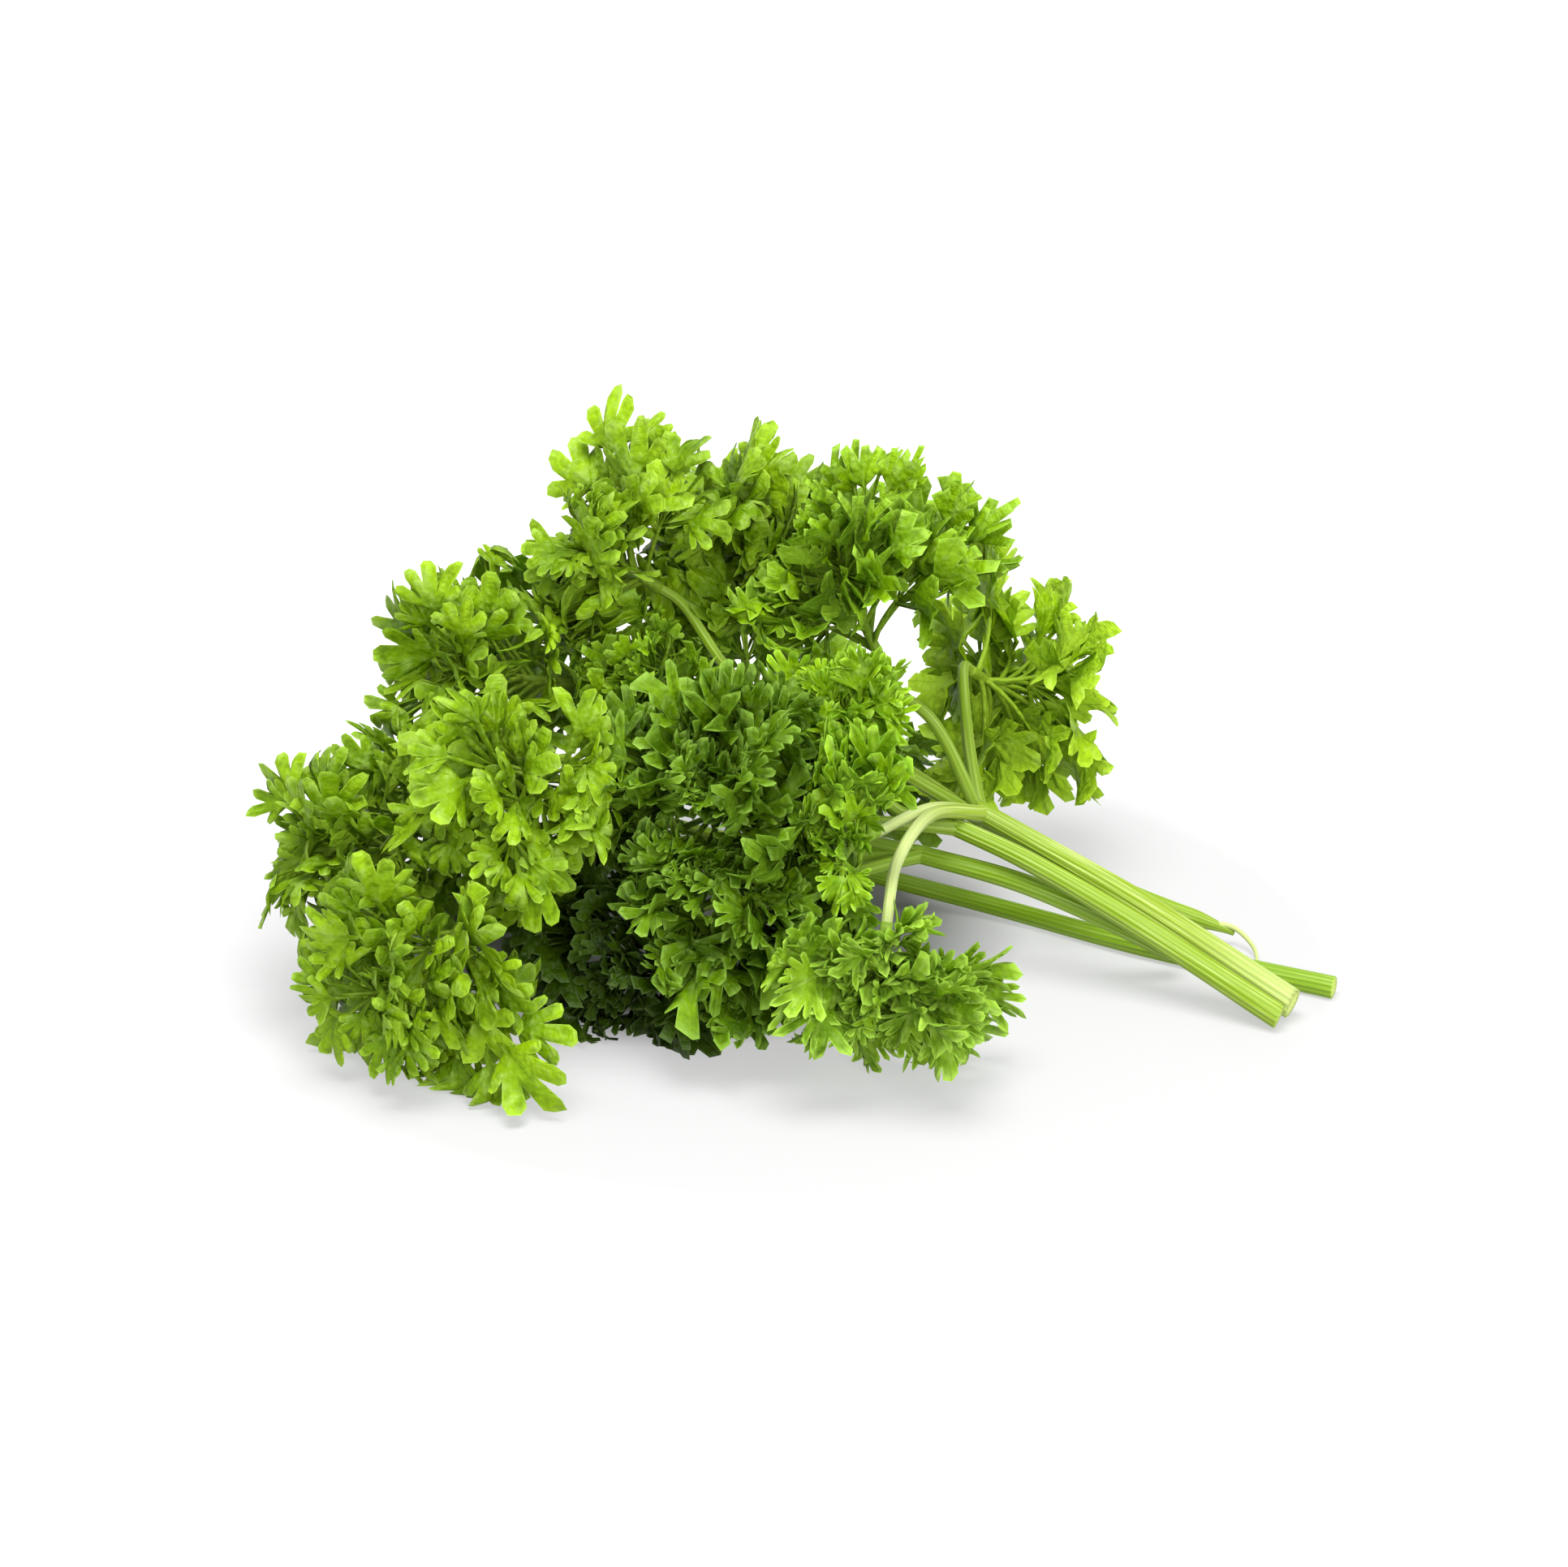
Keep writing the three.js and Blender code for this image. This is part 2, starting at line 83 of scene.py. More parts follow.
# Sprays. root is where the branch meets the spray, after the bends in via, and tip is the far end of its
# axis. face is the side that its pinnae turn to, breadth half its width, flat how flat it lies (1 is round),
# wave how strongly its margins ruffle, habit the cut of its leaf and finish its colouring. pale is how
# whitish its branch is, where it isn't BRANCH_PALE. A spray that fills gaps has leaves where the others part.
SPRAYS = {
    "spray_top": {
        "stalk": "stalk_torn", "via": [[16.5, 4, 32], [-7, -2, 48]],
        "root": [-20, 6, 61], "tip": [-36, 8, 71],
        "face": [-0.2, -1, 0.2], "pinnae": 10, "breadth": 29, "flat": 0.8, "wave": 0.5,
        "habit": "open", "finish": "sunny",
    },
    "spray_top_left": {
        "stalk": "stalk_torn", "via": [[16.5, 6, 31], [-9, 6, 40]],
        "root": [-33, 5, 45], "tip": [-66, -1, 51],
        "face": [-0.3, -0.7, 0.7], "pinnae": 8, "breadth": 26, "flat": 0.9, "wave": 0.5,
        "habit": "open", "finish": "sunny",
    },
    "spray_left": {
        "stalk": "stalk_under", "via": [[4, -2, 18], [-28, -8, 20]],
        "root": [-50, -12, 25], "tip": [-84, -20, 20],
        "face": [-0.4, -0.6, 0.8], "pinnae": 8, "breadth": 26, "flat": 0.9, "wave": 0.5,
        "habit": "open", "finish": "sunny",
    },
    "spray_left_hand": {
        "stalk": "stalk_under", "via": [[4, -2, 19], [-22, -8, 28]],
        "root": [-36, -18, 39], "tip": [-47, -46, 34],
        "face": [0, -0.8, 0.6], "pinnae": 8, "breadth": 25, "flat": 0.8, "wave": 0.4,
        "habit": "open", "finish": "sunny",
    },
    "spray_front_left": {
        "stalk": "stalk_under", "via": [[2, -4, 16], [-26, -12, 16]],
        "root": [-48, -35, 22], "tip": [-63, -53, 4],
        "face": [-0.2, -0.6, 0.8], "pinnae": 9, "breadth": 28, "flat": 0.7, "wave": 0.4,
        "habit": "open", "finish": "sunny",
    },
    "spray_middle": {
        "stalk": "stalk_under", "via": [[2, 0, 24]],
        "root": [-14, 0, 38], "tip": [-26, -8, 62],
        "face": [-0.2, -0.8, 0.6], "pinnae": 6, "breadth": 23, "flat": 0.9, "wave": 0.6,
        "habit": "dense", "finish": "mid",
    },
    "spray_heart": {
        "stalk": "stalk_beside", "via": [[12, -6, 26]],
        "root": [-8, -14, 31], "tip": [-15, -45, 40],
        "face": [0, -0.6, 0.8], "pinnae": 8, "breadth": 28, "flat": 1, "wave": 0.9,
        "habit": "crisp", "finish": "deep",
    },
    "spray_front": {
        "stalk": "stalk_under", "via": [[8, -10, 18]],
        "root": [-6, -20, 20], "tip": [-11, -49, 31],
        "face": [0, -0.4, 0.9], "pinnae": 10, "breadth": 29, "flat": 1, "wave": 0.9,
        "habit": "crisp", "finish": "deep",
    },
    "spray_fan": {
        "stalk": "stalk_beside", "via": [[18, -4, 27]],
        "root": [12, -6, 36], "tip": [4, -20, 55],
        "face": [0, -0.9, 0.5], "pinnae": 7, "breadth": 20, "flat": 0.7, "wave": 0.6,
        "habit": "feathery", "finish": "fresh_lit",
    },
    "spray_arch": {
        "stalk": "stalk_front", "via": [[24, -7, 28.5], [18.2, -16, 30]],
        "root": [14, -24, 31], "tip": [6, -46, 36], "pale": 1.0,
        "face": [0.2, -0.5, 0.8], "pinnae": 8, "breadth": 22, "flat": 1, "wave": 0.8,
        "habit": "feathery", "finish": "fresh_lit",
    },
    "spray_right_low": {
        "stalk": "stalk_front", "via": [[23.6, -10, 28.7], [17.5, -28, 28.2]],
        "root": [15.4, -43, 24], "tip": [13, -54, 8], "pale": 1.0,
        "face": [0.3, -0.8, 0.4], "pinnae": 8, "breadth": 23, "flat": 0.9, "wave": 0.8,
        "habit": "feathery", "finish": "pale",
    },
    "spray_top_right": {
        "stalk": "stalk_torn", "via": [[24, 6, 38.3]],
        "root": [16, 9, 47], "tip": [2, 13, 76],
        "face": [0.1, -0.9, 0.4], "pinnae": 8, "breadth": 31, "flat": 1, "wave": 0.7,
        "habit": "dense", "finish": "mid",
    },
    "spray_right": {
        "stalk": "stalk_torn", "via": [[30.1, 14, 32.5]],
        "root": [31, 26, 40], "tip": [44, 57, 22],
        "face": [0.4, -0.8, 0.6], "pinnae": 8, "breadth": 32, "flat": 0.7, "wave": 0.5,
        "habit": "webbed", "finish": "bright_lit",
    },
    "spray_crown": {
        "stalk": "stalk_torn", "via": [[16.5, 9, 32]],
        "root": [-1, 17, 48], "tip": [-11, 23, 80],
        "face": [0, -0.8, 0.4], "pinnae": 8, "breadth": 27, "flat": 0.9, "wave": 0.6,
        "habit": "webbed", "finish": "sunny",
    },
    "spray_back_left": {
        "stalk": "stalk_low", "via": [[-14, 22, 26]],
        "root": [-24, 20, 38], "tip": [-50, 44, 38],
        "face": [-0.3, 0.4, 0.9], "pinnae": 7, "breadth": 29, "flat": 0.9, "wave": 0.6,
        "habit": "far", "finish": "mid",
    },
    "spray_back": {
        "stalk": "stalk_low", "via": [[-5, 28, 18]],
        "root": [-3, 34, 28], "tip": [-12, 66, 32],
        "face": [0, 0.4, 0.9], "pinnae": 7, "breadth": 30, "flat": 0.9, "wave": 0.7,
        "habit": "far", "finish": "mid",
    },
    "spray_back_low": {
        "stalk": "stalk_low", "via": [[-1, 31, 12]],
        "root": [8, 38, 13], "tip": [22, 68, 6],
        "face": [0.2, 0.3, 0.9], "pinnae": 6, "breadth": 24, "flat": 0.7, "wave": 0.6,
        "habit": "far", "finish": "mid",
    },
    "spray_left_low": {
        "stalk": "stalk_low", "via": [[-24, 14, 14]],
        "root": [-42, 7, 15], "tip": [-76, 13, 9],
        "face": [-0.4, 0.2, 0.9], "pinnae": 7, "breadth": 26, "flat": 0.8, "wave": 0.6,
        "habit": "far", "finish": "mid",
    },
    # Painted shade: its leaves are coloured dark to stand in for the shade deep inside the bunch, and it
    # fills the hollow where the others part.
    "spray_inner": {
        "stalk": "stalk_under", "via": [[2, -5, 14]],
        "root": [-16, -14, 12], "tip": [-30, -42, 8],
        "face": [0, -0.5, 0.9], "pinnae": 7, "breadth": 32, "flat": 0.8, "wave": 0.8, "fills": True,
        "habit": "dense", "finish": "shade",
    },
}

# Where leaf parts: gaps that the stalks show through. Each is a line across the bunch, in the plane that
# leans back by GAP_TILT, as points of x and height above GAP_LEVEL, with half its width and the y that it
# goes back to.
GAP_TILT = math.radians(21)
GAP_LEVEL = 30.0
GAPS = {
    "fork": {"line": [[25, 9], [25, -10]], "half": 8.0, "back": 12.0},
    "petiole": {"line": [[-7, 18], [-12.5, 27], [-18, 35]], "half": 6.0, "back": 3.0},
    "risers": {"line": [[21, 13], [25, 5]], "half": 5.0, "back": 8.0},
    "arches": {"line": [[18, -5], [15.5, -9], [15, -18]], "half": 4.0, "back": -22.0},
    "hollow": {"line": [[-29, -14], [-26, -23]], "half": 6.0, "back": -30.0},
}

# How a leaf is cut. extra is how many more pinnae grow between those of the plan, leaflets how many stand on
# a pinna and size their length, in shares of the pinna's fan. lobes is how many lobes a leaflet is cut into,
# and columns and rows the mesh across a lobe and along it, with rows drawn towards the margin by crowd. half
# is the angle from a leaflet's rib to its side and slope how much shorter its side lobes are; notch is the
# height of the cuts' ends, as a share of the lobes beside them; roundness the exponent of a lobe's outline;
# waist how much a lobe narrows above its cut. pitch, lift, roll and turn are the angles by which leaflets
# tilt; curl, droop and cup how they bend; ruffle and ruffles the height and number of the folds along their
# margins and gather how close to the margin they keep; crumple and crumples are those of the dimples in the
# blade; lobe_curl, lobe_roll and lobe_sway the bends of a lobe.
HABITS = {
    "open": {
        "extra": 2, "leaflets": 6, "size": 0.5, "lobes": 5, "columns": 5, "rows": 5, "crowd": 1.3,
        "half": 1.3, "slope": 0.38, "notch": 0.58, "roundness": 2.6, "waist": 0.24,
        "pitch": 0.35, "lift": 0.1, "roll": 0.4, "turn": 0.25, "curl": 0.5, "droop": -0.45, "cup": 0.1,
        "ruffle": 0.12, "ruffles": 1.4, "gather": 1.5, "crumple": 0.035, "crumples": 7.0,
        "lobe_curl": 0.5, "lobe_roll": 0.45, "lobe_sway": 0.06,
    },
    "webbed": {
        "extra": 2, "leaflets": 5, "size": 0.66, "lobes": 7, "columns": 5, "rows": 5, "crowd": 1.3,
        "half": 1.35, "slope": 0.3, "notch": 0.7, "roundness": 2.5, "waist": 0.2,
        "pitch": 0.3, "lift": 0.05, "roll": 0.35, "turn": 0.2, "curl": 0.5, "droop": -0.3, "cup": 0.2,
        "ruffle": 0.16, "ruffles": 1.6, "gather": 1.5, "crumple": 0.04, "crumples": 7.0,
        "lobe_curl": 0.5, "lobe_roll": 0.4, "lobe_sway": 0.06,
    },
    "far": {
        "extra": 1, "leaflets": 6, "size": 0.58, "lobes": 5, "columns": 3, "rows": 3, "crowd": 1.3,
        "half": 1.3, "slope": 0.42, "notch": 0.6, "roundness": 2.5, "waist": 0.22,
        "pitch": 0.4, "lift": 0.05, "roll": 0.5, "turn": 0.25, "curl": 0.6, "droop": -0.4, "cup": 0.1,
        "ruffle": 0.1, "ruffles": 1.3, "gather": 1.5, "crumple": 0.035, "crumples": 7.0,
        "lobe_curl": 0.5, "lobe_roll": 0.5, "lobe_sway": 0.06,
    },
    "dense": {
        "extra": 2, "leaflets": 9, "size": 0.4, "lobes": 5, "columns": 3, "rows": 4, "crowd": 1.3,
        "half": 1.1, "slope": 0.35, "notch": 0.7, "roundness": 2.3, "waist": 0.12,
        "pitch": 0.5, "lift": 0.5, "roll": 0.5, "turn": 0.35, "curl": 0.5, "droop": -0.2, "cup": 0.4,
        "ruffle": 0.12, "ruffles": 1.8, "gather": 2.0, "crumple": 0.04, "crumples": 7.0,
        "lobe_curl": 0.5, "lobe_roll": 0.5, "lobe_sway": 0.05,
    },
    "feathery": {
        "extra": 2, "leaflets": 8, "size": 0.5, "lobes": 9, "columns": 4, "rows": 5, "crowd": 1.4,
        "half": 1.25, "slope": 0.25, "notch": 0.62, "roundness": 2.4, "waist": 0.3,
        "pitch": 0.4, "lift": 0.4, "roll": 0.4, "turn": 0.3, "curl": 0.5, "droop": -0.1, "cup": 0.4,
        "ruffle": 0.2, "ruffles": 2.6, "gather": 2.2, "crumple": 0.04, "crumples": 8.0,
        "lobe_curl": 0.6, "lobe_roll": 0.4, "lobe_sway": 0.07,
    },
    "crisp": {
        "extra": 2, "leaflets": 10, "size": 0.42, "lobes": 9, "columns": 4, "rows": 4, "crowd": 1.4,
        "half": 1.35, "slope": 0.25, "notch": 0.62, "roundness": 3.0, "waist": 0.24,
        "pitch": 0.4, "lift": 0.35, "roll": 0.45, "turn": 0.3, "curl": 0.5, "droop": -0.05, "cup": 0.35,
        "ruffle": 0.24, "ruffles": 3.0, "gather": 2.4, "crumple": 0.04, "crumples": 8.0,
        "lobe_curl": 0.55, "lobe_roll": 0.4, "lobe_sway": 0.06,
    },
}

# The pinnae in between stand further in, and their leaflets are cut more simply.
INNER_CUTS = {
    "open": {"lobes": 3, "columns": 5, "rows": 3},
    "webbed": {"lobes": 5, "columns": 4, "rows": 3},
    "far": {"lobes": 3, "columns": 4, "rows": 3},
    "dense": {"lobes": 3, "columns": 4, "rows": 3},
    "feathery": {"lobes": 5, "columns": 4, "rows": 3},
    "crisp": {"lobes": 5, "columns": 4, "rows": 3},
}

# Colours of a leaf, in linear light: its young and its deep green, its underside and its veins. rim is how
# much a painted highlight lightens its margin, and hollow how much painted shade darkens its foot. The
# finishes are partly the leaves' own greens and partly lit and shaded copies of one green: the lighter ones
# are painted light for sprays that face the lamps or that the lamps leave too dim, deep is partly the crisp
# leaf's own darker green and partly painted shade, and shade is painted shade for the leaves deep inside the
# bunch.
FINISHES = {
    "bright_lit": {
        "young": (0.47, 0.72, 0.008), "deep": (0.26, 0.45, 0.004), "under": (0.40, 0.60, 0.04),
        "vein": (0.14, 0.25, 0.005), "rim": 0.3, "hollow": 0.3,
    },
    "sunny": {
        "young": (0.33, 0.54, 0.005), "deep": (0.15, 0.29, 0.003), "under": (0.34, 0.52, 0.04),
        "vein": (0.10, 0.20, 0.004), "rim": 0.3, "hollow": 0.5,
    },
    "mid": {
        "young": (0.30, 0.52, 0.004), "deep": (0.13, 0.27, 0.003), "under": (0.28, 0.47, 0.03),
        "vein": (0.34, 0.52, 0.03), "rim": 0.6, "hollow": 0.65,
    },
    "fresh_lit": {
        "young": (0.38, 0.65, 0.005), "deep": (0.16, 0.34, 0.003), "under": (0.33, 0.55, 0.04),
        "vein": (0.40, 0.60, 0.04), "rim": 0.7, "hollow": 0.6,
    },
    "pale": {
        "young": (0.36, 0.60, 0.020), "deep": (0.15, 0.31, 0.008), "under": (0.37, 0.57, 0.07),
        "vein": (0.48, 0.66, 0.12), "rim": 0.7, "hollow": 0.2,
    },
    "deep": {
        "young": (0.20, 0.375, 0.004), "deep": (0.07, 0.165, 0.002), "under": (0.21, 0.38, 0.02),
        "vein": (0.24, 0.40, 0.02), "rim": 0.9, "hollow": 0.8,
    },
    "shade": {
        "young": (0.06, 0.12, 0.002), "deep": (0.02, 0.05, 0.001), "under": (0.06, 0.12, 0.01),
        "vein": (0.08, 0.14, 0.005), "rim": 0.5, "hollow": 0.9,
    },
}

# How pinnae stand on a spray. A pair holds the value at the end of the rachis and at its foot, and a spread
# is how far chance moves a value either way.
GOLDEN_ANGLE = math.pi * (3 - math.sqrt(5))
LEANS = (0.35, 1.9)  # off the spray's axis, in radians
ARCHES = (1.5, 1.0)  # the angle that a pinna bends back by
LEAN_SPREAD = 0.15
TURN_SPREAD = 0.2
TWIST_SPREAD = 0.35
INNER_SHARE = 0.8  # of the lean and reach of the others, for the pinnae in between
EGG_MIDDLE = 0.42  # of the outline that the tips of pinnae follow, along the axis
EGG_HALF = 0.52
RACHIS_SHARE = 0.5  # of the spray's length
FOOT_SHARE = 0.85  # of the rachis that bears pinnae
OUTWARD = 0.4  # how much a pinna's upper face turns away from the axis
FACING = 1.1  # and to the side that the spray faces

# A pinna's fan, in shares of its radius. Its leaflets start nearer the foot at its sides, and where they are
# crowded every second one starts further in.
FAN_SHARE = 0.64  # of the pinna's length
FAN_HALF_ANGLE = 1.3
LEAFLET_ARC = 0.72  # the share of that angle that leaflets start from
SPLAY = 1.25  # how much wider than that they point
RUFFLE = 0.34  # height of the waves across a fan
WAVES = (1.6, 0.4)  # their number and its spread
PHASE_SPREAD = 3.0
START = 1.06  # where leaflets end, in the middle of a fan
SECOND_ROW = 0.22
CROWDED = 6  # leaflets, above which every second one starts further in
SIDE_DRAW = 0.4
SIDE_SHRINK = 0.12
PLACE_SPREAD = 0.12
START_SPREAD = 0.2
HEIGHT_SPREAD = 0.12
SIZE_SPREAD = 0.25
FOOT_HALF_WIDTH = 0.02
LONGEST_LEAFLET = 9.5  # in millimetres
THINNING = (1.3, 0.6)  # a blade's thickness at its foot, over the setting, and what it loses to its tip

# A leaflet's outline and bends, in shares of its length.
LOBE_SPREAD = 0.17
CUT_SPREAD = 0.18
OUTER_CUT = 0.45  # how far the cuts at its two sides reach, in shares of the others
BLADE_FOOT = 0.04
WAIST_RISE = 2.5  # how soon a lobe narrows
WAIST_EASE = 0.7  # and how much of that it wins back
CUP_SPREAD = 0.25
SHAKE = 3.0  # spread of the phase of folds and dimples
DIMPLE_RISE = 1.5  # how soon dimples set in
FOLD_CREST = 0.6  # what folds and dimples add to a crest
DIMPLE_CREST = 0.5

# How sprays keep clear of each other and of the table, in millimetres or shares of the way to a wall.
FREE_SHARE = 0.8
WALL_ROOM = 0.525  # half of a blade's thickness and of the gap to the next spray
TABLE_CONTACT = -0.1  # height of the wall at the table
MINGLE = (1.12, 0.22)  # mean and spread of the walls' slack
LEAF_CLEARANCE = 0.25  # least height of a blade's middle surface

# Tubes, in millimetres, with rings along them and sides around them.
STALK_RINGS = 56
STALK_SIDES = 78
STALK_RIBS = 13
STALK_SLANT = 0.3
STALK_FADE = (1.25, 0.75)  # of its whitishness, at its cut end and at its fork
BRANCH_RINGS = 40
BRANCH_SIDES = 28
BRANCH_RIBS = 7
BRANCH_RADII = (1.15, 0.85)
BRANCH_FLARE = (0.35, 12)  # how much wider a branch starts, and how fast that fades
BRANCH_PALE = 0.35
BRANCH_INSET = 0.05  # how far inside its stalk a branch starts, in shares of the stalk's last stretch
BRANCH_RUN_IN = 4  # length in line with its spray's axis
BRANCH_LAP = 0.6  # how far it runs into its spray
TORN_RINGS = 9  # over which a torn end narrows
TORN_WIDTH = 0.4
STRAND_RINGS = 30
STRAND_SIDES = 8
STRAND_RADII = (0.5, 0.22)
RACHIS_RINGS = 12
RACHIS_SIDES = 10
RACHIS_RADII = (1.0, 0.6)
RACHIS_START = -0.02  # just inside the branch, in shares of the rachis
PINNA_STALK_RINGS = 12
PINNA_STALK_SIDES = 6
PINNA_STALK_RADII = (0.48, 0.14)
PINNA_STALK_TAPER = 1.5
PINNA_STALK_REACH = 1 - FAN_SHARE * 0.6  # of the pinna's length, so that it runs on as a rib of the fan
STEM_FADE = 0.6  # of the stem's colour, at the far end
CAP_SCALE = np.array([0.985, 0.93, 0.72, 0.4])  # width of the rings that close an end
ROUND_CAP = np.array([0.12, 0.3, 0.55, 0.72])  # how far they stand out, in radii
CUT_CAP = np.array([0.02, 0.06, -0.02, -0.12])  # the same on a cut end
SLANT_RINGS = 3.0  # over which the slant of a cut end fades

# How colours and relief are mixed. Two numbers are the slope and the offset of a ramp, three are a colour or
# a tint, and one is a scale, or the share that a layer or a height has.
LEAF_SCALES = {"Patch Scale": 130.0, "Grain Scale": 1500.0}
STALK_SCALES = {"Patch Scale": 45.0, "Grain Scale": 1200.0}
BLISTER_SCALE = 650.0
VEIN_WIDTHS = {"Rib Width": 0.05, "Vein Width": 0.04}
VEIN_START = (4.0, -1.2)
SIDE_VEINS = 95.0
SIDE_VEIN_LINES = (2.0, -1.0)
# Painted light in a leaf's colour: it darkens, as painted shade, at each leaflet's foot and in the troughs of
# its folds and dimples, and lightens, as a whitish painted highlight, on the crests of the folds and along
# the margin.
LEAF_LOOK = {
    "age": (0.28, 0.25), "age_reach": 0.3, "age_patches": 2.6,
    "hollow": (-1.8, 1.0), "dark": 0.45, "blisters": 2.5, "sunk_shade": (-0.9, 0.0), "sunk_shade_share": 0.6,
    "bloom_and_highlight": 0.75, "highlight_added": (0.24, 0.26, 0.19), "raised": (1.3, -0.15), "crest_highlight_share": 0.6,
    "lit": 1.4, "lit_added": 0.09, "rim": (7.0, -6.0), "veins": 0.35, "side_veins": 0.1, "under": 0.55,
    "stem": 0.75, "stem_share": 0.8, "roughness": (0.3, 0.2), "specular": 0.16,
    "grain_height": 0.5, "vein_height": -0.5, "side_height": -0.15, "blister_height": 2.4,
    "bump": 0.75, "bump_depth": 0.0004, "through": 0.3, "through_tint": (1.3, 1.25, 0.5),
}
# A stalk's whitish streaks are partly its own pale bloom and partly a painted highlight, strongest on the
# ridges between its grooves.
STALK_LOOK = {
    "deep": (0.5, 0.62, 0.35), "groove": 0.6, "streaks_around": 40.0, "streaks_along": 0.06,
    "patch": (1.3, 0.25), "patch_pale": (-0.7, 1.0), "bloom_and_highlight": (-5.0, 2.6), "ridge_highlight": (-0.7, 1.0),
    "bloom_and_highlight_pale": (0.7, 0.1), "whitish": (2.4, -1.9), "pith": (3.0, 0.1), "bundle_ring": 0.26,
    "bundle_flatness": 9.0, "bundle": (-14.0, 1.0), "bundle_share": 0.6, "roughness": (0.2, 0.26),
    "bump": 0.35, "bump_depth": 0.0004, "specular": 0.25,
}

# The stage, in metres. The floor glows by emission, a painted light, to plain white further out, and not in
# an oval under the bunch, which is a painted shadow.
FLOOR_RINGS = 40
FLOOR_SIDES = 72
FLOOR_RADII = (0.05, 2.6)
FLOOR_FLAT = 1.3  # the radius out to which it is flat
FLOOR_RISE = 0.9
FLOOR_GLOW = (22.0, -1.87)  # a ramp over the way from the origin
FLOOR_WHITE = (0.4, 0.5)  # what it adds to the glow, and the glow near the bunch
PAINTED_SHADOW_CENTRE = (-0.02, 0.012, 0.0)
PAINTED_SHADOW_SPREAD = (18.0, 22.0, 0.0)  # 1 over the oval's half widths
PAINTED_SHADOW_RAMP = (3.0, -2.2)  # a ramp over the way from its centre
TOOTH_SCALE = 900.0
CAMERA_AIM = (0.0, 0.0, 0.030)  # in the layout of the plan
SENSOR_WIDTH = 36.0  # in millimetres
LAMPS = {
    "key_light": {"place": (-0.04, -0.16, 0.88), "size": 0.6, "share": 1.0},
    "fill_light": {"place": (0.30, -0.75, 0.42), "size": 0.6, "share": 0.5},
}


# ---- Small tools ----
def draw(seed, index):
    """Fixed pseudo-random numbers from -1 to 1: the fractional part of a large multiple of a sine."""
    s = np.sin(seed * 12.9898 + np.asarray(index, float) * 78.233) * 43758.5453
    return 2 * (s - np.floor(s)) - 1


def draws(seed, purpose, *shape):
    """A block of draws for one purpose, which no other purpose shares."""
    return draw(seed, 1000 * purpose + np.arange(math.prod(shape)).reshape(shape))


def mix(a, b, t):
    """a where t is 0, b where it is 1, and evenly in between."""
    return a + (b - a) * t


def ease(t):
    """0 below 0, 1 above 1, and three t squared less two t cubed in between."""
    t = np.clip(t, 0, 1)
    return t * t * (3 - 2 * t)


def unit(v):
    """Vectors of length 1."""
    return v / np.maximum(np.linalg.norm(v, axis=-1, keepdims=True), 1e-12)


def dot(a, b):
    """Dot products, with the axis kept."""
    return (a * b).sum(-1, keepdims=True)


def bow(length, curvature):
    """A stretch bent into an arc: how far it reaches ahead and how far it rises."""
    half = length * curvature / 2
    chord = length * np.sinc(half / np.pi)
    return chord * np.cos(half), chord * np.sin(half)


def spline(points, count):
    """Centripetal Catmull-Rom curve through points, sampled at count places an equal length apart."""
    points = np.asarray(points, float)
    p = np.vstack([2 * points[0] - points[1], points, 2 * points[-1] - points[-2]])
    gaps = np.sqrt(np.linalg.norm(np.diff(p, axis=0), axis=1))[:, None]
    x0, x1, x2, x3 = p[:-3], p[1:-2], p[2:-1], p[3:]
    d0, d1, d2 = gaps[:-2], gaps[1:-1], gaps[2:]
    leave = d1 * ((x1 - x0) / d0 - (x2 - x0) / (d0 + d1) + (x2 - x1) / d1)
    arrive = d1 * ((x2 - x1) / d1 - (x3 - x1) / (d1 + d2) + (x3 - x2) / d2)
    t = np.linspace(0, 1, 40)[:, None, None]
    curve = (2 * t**3 - 3 * t**2 + 1) * x1 + (t**3 - 2 * t**2 + t) * leave
    curve += (3 * t**2 - 2 * t**3) * x2 + (t**3 - t**2) * arrive
    curve = curve.transpose(1, 0, 2).reshape(-1, 3)
    run = np.concatenate([[0], np.cumsum(np.linalg.norm(np.diff(curve, axis=0), axis=1))])
    even = np.linspace(0, run[-1], count)
    return np.stack([np.interp(even, run, curve[:, k]) for k in range(3)], axis=1)


